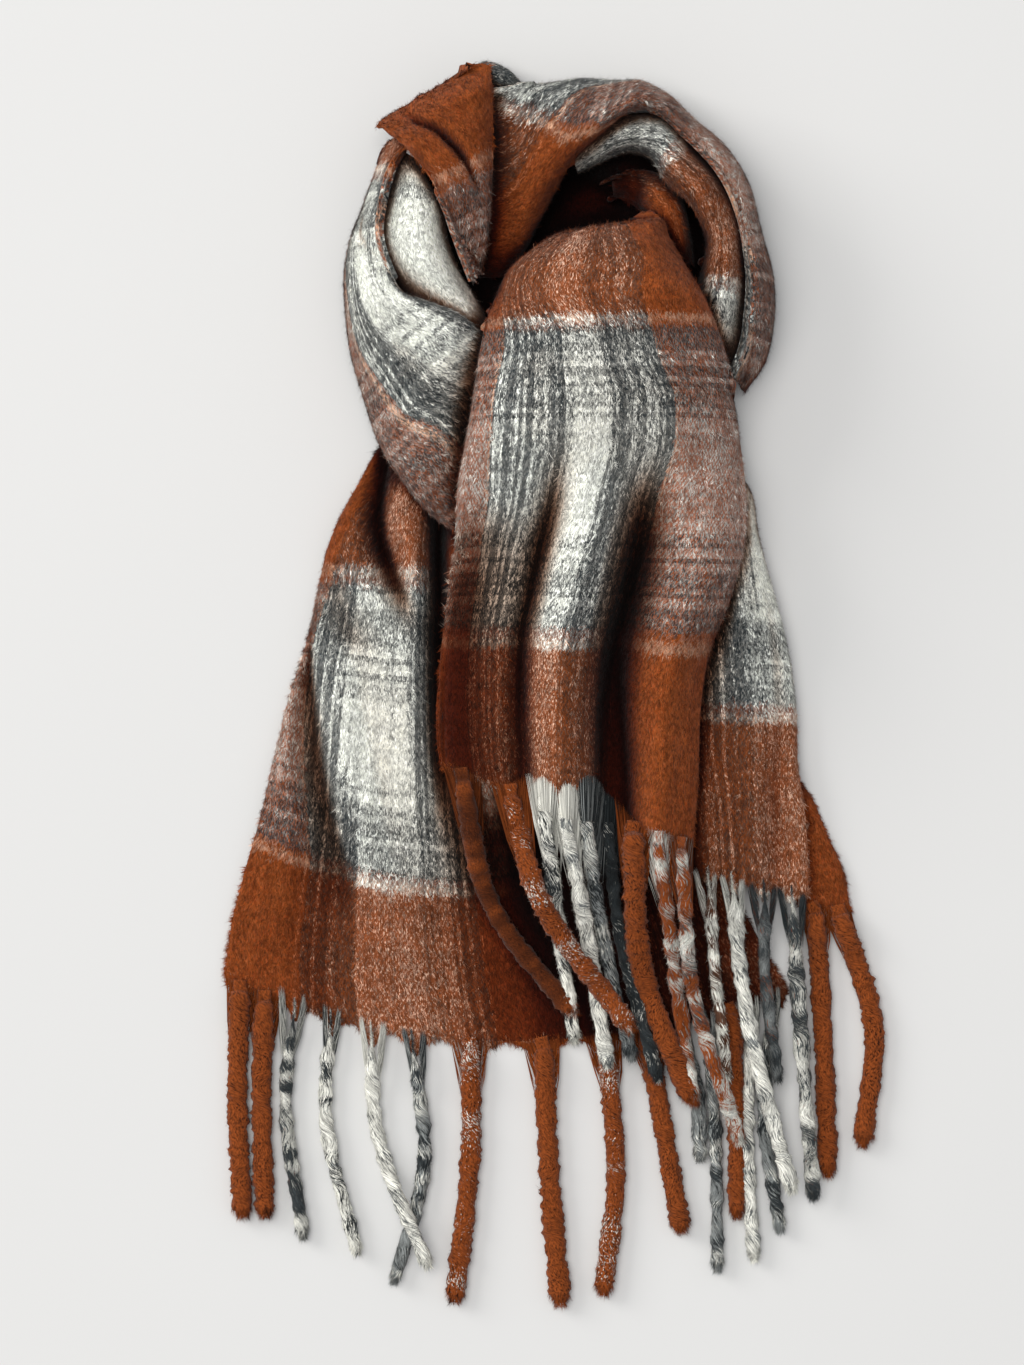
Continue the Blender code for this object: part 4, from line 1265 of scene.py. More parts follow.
@dataclass
class Nap:
    """Fibres that brushing has raised from the cloth, in tufts that lie along the warp."""

    # Width at the root; wider than a real fibre, since it stands for several.
    width: float = 0.36
    length: Pair = (1.7, 4.2)  # shortest and longest fibre
    lift: Pair = (0.08, 0.36)  # how far a tip stands off, as a share of the length
    tuft: int = 5  # fibres in a tuft
    # How far the fibres of a tuft spread at their roots, across and along the warp.
    tuft_spread: Pair = (0.42, 0.672)
    lean: Pair = (26.0, 8.0)  # how far tufts lean off the warp, and fibres off their tuft, in degrees
    swirl: Pair = (17.0, 0.15)  # size of the swirls in which they lean, and how far, in radians
    backwards: float = 0.2  # share of tufts that lie the other way
    halo: float = 0.05  # share of longer, finer fibres that stand off
    halo_lift: Pair = (0.2, 0.45)  # how much further they stand off
    rim: float = 2.5  # how much denser the fibres stand along the long edges, where they point outwards
    rim_heading: Pair = (0.3, 1.6)  # how far they point outwards
    tones: Pair = (0.52, 1.32)  # darkest and lightest tuft
    # How high cloth above a place hides it, and how far beside the place it is looked for.
    hidden: Pair = (3.0, 4.0)
    rooted: float = 0.3  # how deep a fibre starts
    lowest: float = 0.2  # the least height of a fibre over the board
    most: int = 130000  # most fibres on one piece

    def build(
            self, name: str, wall: Wall, density: float, pile: Pile, material: Material,
            seed: int) -> tuple[Object, Array]:
        """Grow the nap where the cloth shows.

        Args:
          name: the piece's name.
          wall: the laid cloth.
          density: tufts for each square millimetre.
          pile: everything that has been laid, which hides what lies below it.
          material: the nap's material.
          seed: number of the pattern.

        Returns:
          The piece, and how far each fibre's root is pressed into a crease.
        """
        rng = np.random.default_rng(seed)
        roots = self.scatter(rng, wall, density, pile)
        count = len(roots.place)
        tufts = count // self.tuft
        points = self.grow(rng, roots, seed + 1)
        piece = build_object(name, points, [np.arange(count * 3).reshape(-1, 3)], material,
            {"cloth": np.repeat(roots.sett, 3, axis=0), "weave": np.repeat(roots.weave, 3, axis=0)})
        pick = np.repeat(rng.random(tufts), self.tuft)
        shade = np.repeat(rng.uniform(*self.tones, tufts), self.tuft) * rng.uniform(0.85, 1.15, count)
        frost = np.repeat(rng.random(tufts), self.tuft)
        tuft = np.stack([pick, shade, frost], axis=1)
        set_attribute(piece, "tuft", "FLOAT_VECTOR", np.repeat(tuft, 3, axis=0))
        return piece, roots.pressed

    def scatter(self, rng: Rng, wall: Wall, density: float, pile: Pile) -> Roots:
        """Choose where the fibres grow.

        Args:
          rng: gives the random numbers.
          wall: the laid cloth.
          density: tufts for each square millimetre.
          pile: everything that has been laid.

        Returns:
          The fibres' roots.
        """
        outer = wall.outer
        along, across, normal = grid_directions(outer)
        beside = normal[:-1, :-1] * np.array([1, 1, 0])
        centre = (outer[:-1, :-1] + outer[1:, 1:]) / 2 + self.hidden[1] * beside
        covered = pile.read(pile.top, centre[..., :2]) > centre[..., 2] + self.hidden[0]
        weight = np.where(covered, 0.0, cell_areas(outer))
        weight[:, [0, -1]] *= self.rim
        tufts = min(int(weight.sum() * density), self.most // self.tuft)
        share = np.cumsum(weight.ravel()) / weight.sum()
        cell = np.searchsorted(share, rng.random(tufts))
        row, column = (np.repeat(part, self.tuft) for part in np.divmod(cell, weight.shape[1]))
        s = np.repeat(rng.random(tufts), self.tuft)
        t = np.repeat(rng.random(tufts), self.tuft)
        shares = ((1 - s) * (1 - t), s * (1 - t), (1 - s) * t, s * t)
        corners = ((row, column), (row + 1, column), (row, column + 1), (row + 1, column + 1))

        def between(values: Array) -> Array:
            """Read a grid of values at each fibre's root."""
            return sum(values[corner] * part[:, None] for corner, part in zip(corners, shares))

        down, side = between(along), between(across)
        spread = np.stack([rng.normal(0.0, width, len(row)) for width in self.tuft_spread], axis=1)
        edge = np.where(column == 0, -1.0, np.where(column == weight.shape[1] - 1, 1.0, 0.0))
        return Roots(place=between(outer) + side * spread[:, :1] + down * spread[:, 1:], down=down,
            side=side, up=between(normal), sett=between(wall.sett) + spread, weave=between(wall.weave),
            pressed=between(wall.pressed[..., None])[:, 0], outwards=edge)

    def grow(self, rng: Rng, roots: Roots, seed: int) -> Array:
        """Give each fibre its way, length and width.

        Args:
          rng: gives the random numbers.
          roots: where the fibres grow.
          seed: number of the swirls' pattern.

        Returns:
          Three points for each fibre.
        """
        count = len(roots.place)
        tufts = count // self.tuft
        swirl = gentle_noise(roots.place[:, :2] / self.swirl[0] + 30, seed) * self.swirl[1]
        tuft_lean, own_lean = (math.radians(angle) for angle in self.lean)
        tuft_way = np.repeat(rng.normal(0.0, tuft_lean, tufts), self.tuft)
        way = swirl + tuft_way + rng.normal(0.0, own_lean, count)
        way = way + np.repeat(rng.random(tufts) < self.backwards, self.tuft) * math.pi
        halo = rng.random(count) < self.halo
        length = rng.uniform(*self.length, count) * np.where(halo, 1.4, 1.0)
        lift = rng.uniform(*self.lift, count) + np.where(halo, rng.uniform(*self.halo_lift, count), 0.0)
        width = self.width * rng.uniform(0.7, 1.2, count) * np.where(halo, 0.6, 1.0)
        outwards = roots.outwards * rng.uniform(*self.rim_heading, count)
        heading = roots.down * np.cos(way)[:, None] + roots.side * np.sin(way)[:, None]
        heading = unit(heading + roots.side * outwards[:, None])
        half = np.cross(roots.up, heading) * width[:, None] / 2
        root = roots.place - roots.up * self.rooted
        tip = roots.place + heading * length[:, None] + roots.up * (lift * length)[:, None]
        points = np.stack([root - half, root + half, tip], axis=1).reshape(-1, 3)
        points[:, 2] = np.maximum(points[:, 2], self.lowest)
        return points


@dataclass
class HiddenLayers:
    """The folded layers inside the loop, as one rounded heap, dished under the neck hole."""

    node: str = "loop_core"  # the solid that it stands for
    slot: Slot = Slot.RUST  # the record's material slot
    hole: Pair = (12.0, 276.0)  # middle of the neck hole's bottom
    middle: Pair = (4.0, 248.0)  # middle of the heap's outline
    outline: Pair = (101.0, 76.0)  # its half width and half depth
    top: float = 22.0  # height of the heap
    hole_floor: float = 6.0  # height of the dish's bottom
    folds: tuple[float, int] = (0.8, 5)  # height of its soft folds and how many there are round it
    rings: int = 28  # rings of the grid from the hole to the outline
    spokes: int = 96  # points round each ring
    flat: Pair = (0.19, 0.145)  # width and length of the cloth that shows in it, in metres
    held: str = "folded"
    nap: float = 0.4  # tufts of raised fibres for each square millimetre
    pressed: float = -26.0  # painted shade: it lies deep in the hole, so it is painted as dark as a crease of this depth

    def lay(self, pile: Pile) -> Wall:
        """Work out the heap's upper side and raise the pile.

        Args:
          pile: the bare surface.

        Returns:
          Its upper side, from the hole outwards, as both sides of a wall.
        """
        out = np.linspace(0.0, 1.0, self.rings + 1)[:, None]
        angle = np.linspace(0.0, 2 * math.pi, self.spokes + 1)[None, :]
        edge_x = self.middle[0] + self.outline[0] * np.cos(angle)
        edge_y = self.middle[1] + self.outline[1] * np.sin(angle)
        shoulder = np.sqrt(np.maximum(0.0, 1 - smooth_step(0.7, 1.0, out) ** 2 * 0.9))
        height = (self.hole_floor + (self.top - self.hole_floor) * smooth_step(0.25, 0.6, out)) * shoulder
        waves = np.sin(self.folds[1] * angle + 6 * out)
        folds = self.folds[0] * waves * smooth_step(0.1, 0.5, out) * shoulder
        grid = np.stack([self.hole[0] + (edge_x - self.hole[0]) * out,
            self.hole[1] + (edge_y - self.hole[1]) * out, (height + folds) * np.ones_like(angle)], axis=2)
        pile.add_grid(grid)
        return Wall(grid, grid, self.sett(grid), grid[..., :2] + WEAVE_SHIFT,
            np.full(grid.shape[:2], self.pressed))

    def spread_pressed(self, wall: Wall) -> Array:
        """How far each point of the piece is pressed in, for its painted shade; it is the same for all."""
        return np.full(wall.pressed[1:, :-1].size + self.spokes + 1, self.pressed)

    def sett(self, grid: Array) -> Array:
        """Place of the heap in the sett, which is all rust here."""
        return grid[..., :2] * 0.4 + np.array([145.0, 40.0])

    def build(self, wall: Wall, material: Material) -> Object:
        """Make the heap as one closed piece.

        Args:
          wall: its upper side.
          material: the cloth's material.

        Returns:
          The piece.
        """
        grid = wall.outer
        ring = grid[1:, :-1].reshape(-1, 3)
        rim = grid[-1, :-1] * np.array([1.0, 1.0, 0.0])
        points = np.concatenate([grid[0, :1], ring, rim])
        number = np.arange(1, len(ring) + 1).reshape(self.rings, self.spokes)
        number = np.vstack([number, number[-1] + self.spokes])
        after = np.roll(number, -1, axis=1)
        quads = np.stack([number[:-1], number[1:], after[1:], after[:-1]], axis=-1).reshape(-1, 4)
        fan = np.stack([np.zeros(self.spokes, int), number[0], after[0]], axis=1)
        bottom = number[-1][::-1].reshape(1, -1)
        return build_object(f"{self.node}_cloth", points, [quads, fan, bottom], material,
            {"cloth": self.sett(points), "weave": points[:, :2] + WEAVE_SHIFT})


# ------------------------------ the fringe

class Root(NamedTuple):
    """Where a strand leaves the hem: the middle of its top, its bottom and the way out."""

    top: Array
    low: Array
    outwards: Array


class Skin(NamedTuple):
    """Skin of a strand: its points and faces, and each point's directions, yarn numbers and painted shade in
    the grooves between the plies.
    """

    points: Array
    quads: Array
    caps: Array
    outward: Array
    ahead: Array
    run: Array
    ply: Array
    place: Array
    shade: Array


@dataclass(frozen=True)
class Twist:
    """How a kind of yarn is twisted."""

    full: float  # its body's width, against its width with the fuzz
    lump: float  # how far its width goes up and down
    lump_cell: float  # length of its lumps
    turn: float  # length of a full turn of its two plies, against the fringe's pitch
    groove: float  # how deep the grooves between the plies are, as a share of its radius; it also sets the painted shade in them
    rough: float  # how uneven its skin is, as a share of its radius
    grain: float  # how short its streaks are cut


@dataclass(frozen=True)
class Gather:
    """How a strand fills out from the hem."""

    start: float  # how far from the hem it starts to fill out
    end: float  # where it is full, as a share of the fringe's gather
    width: float  # its width at the hem, against its width further on
    height: float  # the same for its height


# Pale yarn is smooth and clearly twisted; rust yarn is bulky and granular, and hides its twist.
PALE_TWIST = Twist(full=0.72, lump=0.17, lump_cell=4.5, turn=1.0, groove=0.22, rough=0.048, grain=1.2)
BULKY_TWIST = Twist(full=0.92, lump=0.11, lump_cell=3.0, turn=1.6, groove=0.055, rough=0.09, grain=4.0)
# A strand on two legs is all loose ends at the hem; any other one is a flat bundle there.
ON_LEGS = Gather(start=8.0, end=1.15, width=0.04, height=0.06)
BUNDLED = Gather(start=0.0, end=0.75, width=0.7, height=0.25)


@dataclass
class Fringe:
    """Strands of two-ply yarn along a hem, each gathered from the hem's loose warp ends."""

    node: str  # the solid that it stands for
    stretch: str  # the stretch whose hem carries it
    strands: list[Strand]  # the strands, from left to right
    height: float = 9.0  # a strand flattens a little as it lies
    slope: float = 0.5  # how steeply a strand runs down from what it lies on
    pitch: float = 54.0  # length of one full turn of the two plies
    slack: float = 2.6  # how far the twist runs ahead or behind
    gather: float = 26.0  # length over which the warp ends gather into a strand
    strip: float = 6.0  # depth of the solid's strip at the hem, where the strands' middle lines start
    funnel: float = 14.0  # how far the cloth draws out into each strand
    hem_step: float = 1.5  # spacing of the points along the hem
    clearance: float = 0.8  # how far the strands stay above the board
    stations: int = 84  # points along each strand
    sides: int = 14  # points round it
    fuzz: int = 3400  # fibres on each strand
    fuzz_length: Pair = (1.0, 3.0)  # shortest and longest fibre
    brush: float = 6.0  # length of the loose brush at its tip
    ends: int = 420  # loose warp ends that run from the hem into each strand
    ends_reach: float = 11.0  # how far along the hem they come from
    legs: bool = True  # whether the pale strands' ends come out in two legs, or side by side
    lowest: float = 0.2  # the least height of a fibre over the board
    skin_lowest: float = 0.3  # the least height of a strand's skin

    def root(self, wall: Wall, fraction: float) -> Root:
        """Find a place on the hem.

        Args:
          wall: the stretch with the hem.
          fraction: place along the hem, from 0 to 1.

        Returns:
          The place and the way out of the cloth.
        """
        outer, inner, back = wall.outer[-1], wall.inner[-1], wall.outer[-4]
        along = lengths(outer[:, :2])
        at = fraction * along[-1]
        top = np.array([np.interp(at, along, outer[:, k]) for k in range(3)])
        low = np.array([np.interp(at, along, inner[:, k]) for k in range(3)])
        inward = np.array([np.interp(at, along, back[:, k]) for k in range(2)])
        return Root(top, low, unit(top[:2] - inward))

    def path(self, root: Root, strand: Strand, pile: Pile) -> Array:
        """Middle line of a strand, lying on the pile.

        Args:
          root: where it leaves the hem.
          strand: the strand.
          pile: what lies underneath.

        Returns:
          One point for each station.
        """
        start = root.top[:2] + root.outwards * (self.strip - 1.0)
        way = np.array([start, (strand.mid_x, strand.mid_y), (strand.tip_x, strand.tip_y)])
        places = lengths(way)
        samples = np.linspace(0.0, places[-1], 3 * self.stations)
        plan = through(way, places, samples)
        lying = pile.rest_height(plan, strand.width / 2 + 1.5, 1) + self.height / 2
        lying = np.maximum(lying, self.clearance + self.height / 2)
        # It bridges from each high place, and from the hem, at its slope.
        near = np.maximum(np.abs(samples[:, None] - samples[None, :]) - 6.0, 0.0)
        bridged = (lying[None, :] - self.slope * near).max(axis=1)
        hem_height = (root.top[2] + root.low[2]) / 2
        bridged = np.maximum(bridged, hem_height - self.slope * samples)
        inside = start - root.outwards * (self.strip + 1.0)
        line = np.vstack([[(*inside, hem_height - 0.5)], np.column_stack([plan, bridged])])
        line[:, 2] = np.maximum(running_mean(line[:, 2], 5), self.clearance + self.height / 2 - 1.0)
        return even_steps(line, self.stations)

    def skin(self, path: Array, strand: Strand, hem_side: Array, seed: int) -> Skin:
        """Skin of a strand: two lobes that wind round its middle line.

        Args:
          path: its middle line.
          strand: the strand.
          hem_side: direction along the hem.
          seed: number of the pattern.

        Returns:
          The skin.
        """
        rng = np.random.default_rng(seed)
        twist = PALE_TWIST if strand.yarn.pale else BULKY_TWIST
        fill = ON_LEGS if strand.yarn.pale and self.legs else BUNDLED
        run = lengths(path)
        ahead = unit(np.gradient(path, axis=0))
        across = unit(np.cross(ahead, np.array([0.0, 0.0, 1.0])))
        flip = 1.0 if np.dot(across[0, :2], hem_side) > 0 else -1.0
        across = across * flip
        up = np.cross(across, ahead) * flip
        gathered = smooth_step(fill.start, self.gather * fill.end, run)
        thick = twist.full * (1 + twist.lump * noise_along(run, twist.lump_cell, (20.0, 20.0), seed))
        tip = 0.55 + 0.45 * smooth_step(0.0, 5.0, run[-1] - run)
        half_width = strand.width / 2 * (fill.width + (1.0 - fill.width) * gathered) * thick * tip
        half_height = self.height / 2 * (fill.height + (1.0 - fill.height) * gathered) * thick * tip
        slack = self.slack * noise_along(run, 15.0, (20.0, 21.0), seed)
        turns = run / (self.pitch * twist.turn) + rng.random()
        turn = 2 * math.pi * turns * smooth_step(-8.0, self.gather, run) + slack
        angle = np.linspace(0.0, 2 * math.pi, self.sides, endpoint=False)
        own = angle[None, :] - turn[:, None]
        twisted = smooth_step(6.0, self.gather * 0.8, run)[:, None]
        between = 1 - np.abs(np.cos(own))
        girth = (1 - twist.groove * between ** 1.5 * twisted) * (1 + twist.rough
            * rng.normal(0.0, 1.0, own.shape))
        x = np.cos(angle)[None, :] * half_width[:, None] * girth
        y = np.sin(angle)[None, :] * half_height[:, None] * girth
        points = path[:, None, :] + across[:, None, :] * x[..., None] + up[:, None, :] * y[..., None]
        points[..., 2] = np.maximum(points[..., 2], self.skin_lowest)
        round_way = (np.cos(angle)[None, :, None], np.sin(angle)[None, :, None])
        outward = across[:, None, :] * round_way[0] + up[:, None, :] * round_way[1]
        number = np.arange(self.stations * self.sides).reshape(self.stations, self.sides)
        after = np.roll(number, -1, axis=1)
        radius = strand.width / 2
        streak = np.broadcast_to(run[:, None] * twist.grain + 400.0 * rng.random(), own.shape)
        # Shade is painted into the grooves between the plies, where they meet.
        return Skin(points=points.reshape(-1, 3), quads=np.stack([number[:-1], after[:-1], after[1:],
            number[1:]], axis=-1).reshape(-1, 4), caps=np.stack([number[0][::-1], number[-1]]),
            outward=outward.reshape(-1, 3), ahead=np.repeat(ahead, self.sides, axis=0),
            run=np.repeat(run, self.sides), ply=(0.5 * np.cos(own)).reshape(-1),
            place=np.stack([radius * np.cos(own), radius * np.sin(own), streak], axis=2).reshape(-1, 3),
            shade=(1 - 2.0 * twist.groove * between ** 2 * twisted).reshape(-1))

    def fibres(self, skin: Skin, seed: int) -> tuple[Array, Array]:
        """Fuzz of a strand, with a loose brush at its tip.

        Args:
          skin: the strand's skin.
          seed: number of the pattern.

        Returns:
          Three points for each fibre, and the skin point that each fibre grows from.
        """
        rng = np.random.default_rng(seed)
        brush_start = skin.run.max() - self.brush
        body = rng.integers(0, len(skin.points), self.fuzz)
        grown = np.concatenate([body, rng.choice(np.flatnonzero(skin.run > brush_start), self.fuzz // 6)])
        count = len(grown)
        at_tip = skin.run[grown] > brush_start
        way = np.where((rng.random(count) < 0.7) | at_tip, 1.0, -1.0)
        length = rng.uniform(*self.fuzz_length, count) * np.where(at_tip, 1.6, 1.0)
        lift = rng.uniform(0.2, 1.7, count) * np.where(at_tip, 0.3, 1.0)
        ahead, outward = skin.ahead[grown], skin.outward[grown]
        side = np.cross(ahead, outward)
        sway = rng.normal(0.25, 0.6, count)
        heading = unit(ahead * way[:, None] + outward * lift[:, None] + side * sway[:, None])
        root = skin.points[grown] - outward * 0.3 + ahead * rng.uniform(-1.5, 1.5, count)[:, None]
        half = 0.18 * rng.uniform(0.6, 1.3, count)[:, None]
        tip = root + heading * length[:, None]
        points = np.stack([root - side * half, root + side * half, tip], axis=1)
        points[..., 2] = np.maximum(points[..., 2], self.lowest)
        return points.reshape(-1, 3), grown

    def end_shares(self, rng: Rng, pale: bool) -> Array:
        """Say where the loose warp ends of a strand leave the hem.

        Args:
          rng: gives the random numbers.
          pale: whether its yarn is pale.

        Returns:
          For each end, a share of the reach to one side (-1) or the other (1).
        """
        bundle = np.clip(rng.normal(0.0, 0.5, self.ends), -1.0, 1.0)
        if not pale:
            return bundle
        if not self.legs:
            return np.clip(rng.normal(0.0, 0.36, self.ends), -1.0, 1.0)
        reach = rng.uniform(0.28, 0.75, 2)
        leg = rng.choice([-reach[0], reach[1]], self.ends)
        return leg * rng.uniform(0.85, 1.15, self.ends) + rng.normal(0.0, 0.05, self.ends)

    def loose_ends(self, wall: Wall, strand: Strand, path: Array, seed: int) -> tuple[Array, Array]:
        """Warp ends that leave the hem on both sides of a strand and gather into it.

        Args:
          wall: the stretch with the hem.
          strand: the strand.
          path: its middle line.
          seed: number of the pattern.

        Returns:
          Six points for each end, as two triangles, and which ply each end belongs to.
        """
        rng = np.random.default_rng(seed)
        total = lengths(wall.outer[-1][:, :2])[-1]
        fine = strand.yarn.pale and self.legs
        run = lengths(path)
        roots, insets = [s.root for s in self.strands], [s.inset for s in self.strands]
        points = []
        for share in self.end_shares(rng, strand.yarn.pale):
            fraction = float(np.clip(strand.root + share * self.ends_reach / total, 0.003, 0.997))
            root = self.root(wall, fraction)
            depth = rng.random()
            # Legs start anywhere short of the hem; ends side by side start on one ragged line.
            if self.legs:
                inset = strand.inset - strand.inset * rng.uniform(0.25, 1.1)
            else:
                inset = float(np.interp(fraction, roots, insets)) + rng.uniform(-1.5, 1.5)
            # Where a strand starts at the hem itself, its ends come out of the whole thickness.
            sunk = (0.9 + CLOTH_WALL) * depth * (strand.inset < 5)
            start = np.array([*(root.top[:2] - root.outwards * max(inset, -1.0)), root.top[2] + 0.9 - sunk])
            at = rng.uniform(0.5, 1.25) * self.gather * (0.8 + 0.4 * abs(share))
            station = np.searchsorted(run, at)
            ahead = path[min(station + 2, len(path) - 1)] - path[max(station - 2, 0)]
            side = np.array([-ahead[1], ahead[0], 0.0]) / np.linalg.norm(ahead[:2])
            end = path[station] + side * share * strand.width * 0.4
            end[2] += self.height * 0.5 * (1 - 0.8 * abs(share)) * (1 - depth)
            bend = start * 0.45 + end * 0.55
            bend[:2] += root.outwards * 0.10 * np.linalg.norm(end - start)
            bend[2] = max(bend[2], 0.4, start[2] * 0.55 + end[2] * 0.45)
            half = rng.uniform(*((0.05, 0.16) if fine else (0.12, 0.30)))
            across = np.array([-root.outwards[1], root.outwards[0], 0.0]) * half
            points += [start, bend + across, bend - across, bend - across, bend + across, end]
        return np.array(points), np.repeat(rng.random(self.ends) - 0.5, 6)

    def yarn_values(
            self, strand: Strand, skin: Skin, grown: Array, end_ply: Array, seed: int,
            pattern: int) -> dict[str, Array]:
        """Work out what the yarn's material reads at each point of a strand.

        Args:
          strand: the strand.
          skin: its skin.
          grown: the skin point that each fibre grows from.
          end_ply: which ply each point of the loose ends belongs to.
          seed: number of the random shades.
          pattern: number of the pattern in which the colours come and go.

        Returns:
          The attributes by name, with one row for each point.
        """
        rng = np.random.default_rng(seed)
        hair = np.repeat(grown, 3)
        end_shade = np.repeat(rng.uniform(0.45, 1.1, self.ends), 6)
        hair_shade = np.repeat(rng.uniform(0.42, 1.35, len(grown)), 3)
        end_place = np.repeat(rng.uniform(0.0, 90.0, (self.ends, 3)), 6, axis=0)
        ply = np.concatenate([skin.ply, skin.ply[hair], end_ply])
        # The skin's shade is painted shade in the grooves; the fibres' and ends' shades are their own tones
        # at random.
        shade = np.concatenate([skin.shade, hair_shade, end_shade])
        run = np.concatenate([skin.run, skin.run[hair], np.zeros(len(end_ply))])
        change = noise_along(run, 6.5, (0.0, 3.0), pattern)
        clump = noise_along(run, 8.0, (0.0, 9.0), pattern)
        one, two, second, fleck, flecks = strand.yarn.value
        parts = {"ply_one": (one, np.ones_like(run)), "ply_two": (two,
            np.clip(second + 0.42 * change * (second > 0.12), 0.0, 1.0)),
            "fleck": (fleck, flecks * np.clip(1.0 + 2.2 * clump, 0.0, 3.0))}
        values = {name: np.column_stack([np.tile(linear(colour.value)[:3], (len(run), 1)), share]) for name,
            (colour, share) in parts.items()}
        values["helix"] = np.stack([ply, shade, np.zeros_like(ply)], axis=1)
        values["strand"] = np.concatenate([skin.place, skin.place[hair], end_place])
        return values

    def build(self, wall: Wall, pile: Pile, yarn: Material, seed: int) -> Object:
        """Make the strands, layer on layer.

        Args:
          wall: the stretch with the hem.
          pile: what lies underneath; it is raised by the fringe.
          yarn: material of the strands.
          seed: number of the pattern.

        Returns:
          The strands, as one piece.
        """
        points: list[Array] = []
        faces: dict[str, list[Array]] = {"quads": [], "caps": [], "hairs": []}
        values: dict[str, list[Array]] = {}
        base = 0
        for layer in sorted({strand.layer for strand in self.strands}):
            laid = []
            for index, strand in enumerate(self.strands):
                if strand.layer != layer:
                    continue
                root = self.root(wall, strand.root)
                path = self.path(root, strand, pile)
                hem_side = np.array([root.outwards[1], -root.outwards[0]])
                skin = self.skin(path, strand, hem_side, seed + index)
                fibre_points, grown = self.fibres(skin, seed + 100 + index)
                end_points, end_ply = self.loose_ends(wall, strand, path, seed + 200 + index)
                points += [skin.points, fibre_points, end_points]
                hairs = len(fibre_points) + len(end_points)
                faces["quads"].append(skin.quads + base)
                faces["caps"].append(skin.caps + base)
                faces["hairs"].append(np.arange(hairs).reshape(-1, 3) + base + len(skin.points))
                base += len(skin.points) + hairs
                own = self.yarn_values(strand, skin, grown, end_ply, seed + 300 + index, seed + 7 * index)
                for name, rows in own.items():
                    values.setdefault(name, []).append(rows)
                laid.append(skin.points.reshape(self.stations, self.sides, 3))
            for grid in laid:
                pile.add_grid(grid[:, :self.sides // 2 + 1])
        piece = build_object(f"{self.node}_strands", np.concatenate(points),
            [np.concatenate(group) for group in faces.values()], yarn)
        for name, rows in values.items():
            kind = "FLOAT_COLOR" if rows[0].shape[1] == 4 else "FLOAT_VECTOR"
            set_attribute(piece, name, kind, np.concatenate(rows))
        return piece

    def build_hem(self, wall: Wall, pile: Pile, cloth: Material) -> tuple[Object, Wall]:
        """Make the strip of loosening cloth between the hem and the strands.

        Args:
          wall: the stretch with the hem.
          pile: what lies underneath; it is raised by the strip.
          cloth: material of the strip.

        Returns:
          The strip, and its grids with the way out of the cloth first.
        """
        run = lengths(wall.outer[-1][:, :2])
        total = run[-1]
        along = run / total
        fractions = np.linspace(0.004, 0.996, int(total / self.hem_step))
        nearest = np.min([np.abs(fractions - s.root) * total for s in self.strands], axis=0)
        roots = np.array([-0.05, *sorted(s.root for s in self.strands), 1.05])
        after = np.clip(np.searchsorted(roots, fractions), 1, len(roots) - 1)
        gap = (roots[after] - roots[after - 1]) * total
        # The cloth draws out furthest at a strand, and more where strands stand wide apart.
        arch = np.maximum(1 - nearest / (gap / 2), 0.0) ** 1.8
        depth = 1.0 + self.funnel * arch * np.clip(gap / 26.0, 0.45, 1.0)
        steps = np.array([-1.5, 0.0, 0.25, 0.5, 0.75, 1.0])
        top, low, sett, weave = [], [], [], []
        for fraction, reach_out in zip(fractions, depth):
            root = self.root(wall, fraction)
            for step in steps:
                out = step if step < 0 else step * reach_out
                place = root.top[:2] + root.outwards * out
                thin = 0.2 + 0.8 * (1 - max(step, 0.0))
                middle = (root.top[2] + root.low[2]) / 2
                half = max(root.top[2] - root.low[2], 2.0) / 2 * thin
                top.append((*place, middle + half - 0.2))
                low.append((*place, max(middle - half, 0.3)))
                for found, edge in ((sett, wall.sett[-1]), (weave, wall.weave[-1])):
                    found.append([np.interp(fraction, along, edge[:, 0]),
                        np.interp(fraction, along, edge[:, 1]) + out])
        shape = (len(fractions), len(steps))
        grids = [np.array(part).reshape(*shape, -1) for part in (top, low, sett, weave)]
        pile.add_grid(grids[0])
        number = np.arange(shape[0] * shape[1]).reshape(shape)
        quads, rim = grid_faces(number)
        below = number.size
        following = np.roll(rim, -1)
        sides = np.stack([rim, following, following + below, rim + below], axis=1)
        piece = build_object(f"{self.node}_hem", np.array(top + low),
            [quads, quads[:, ::-1] + below, sides], cloth, {"cloth": np.array(sett + sett),
            "weave": np.array(weave + weave)})
        turned = [np.swapaxes(grid, 0, 1) for grid in grids]
        return piece, Wall(*turned, np.zeros(shape[::-1]))


# ------------------------------ the studio

@dataclass(frozen=True)
class SoftLight:
    """A square soft light that points at the scarf."""

    name: str  # the light's name
    place: Triple  # where it hangs, in metres
    size: float  # width of its square
    power: float  # its power in watts
    colour: str = "FFFDFA"  # sRGB hex value

    def hang(self) -> None:
        """Add the light to the scene."""
        data = bpy.data.lights.new(self.name, "AREA")
        data.size = self.size
        data.energy = self.power
        data.color = linear(self.colour)[:3]
        lamp = bpy.data.objects.new(self.name, data)
        lamp.location = self.place
        lamp.rotation_euler = (-Vector(self.place)).to_track_quat("-Z", "Y").to_euler()
        bpy.context.scene.collection.objects.link(lamp)


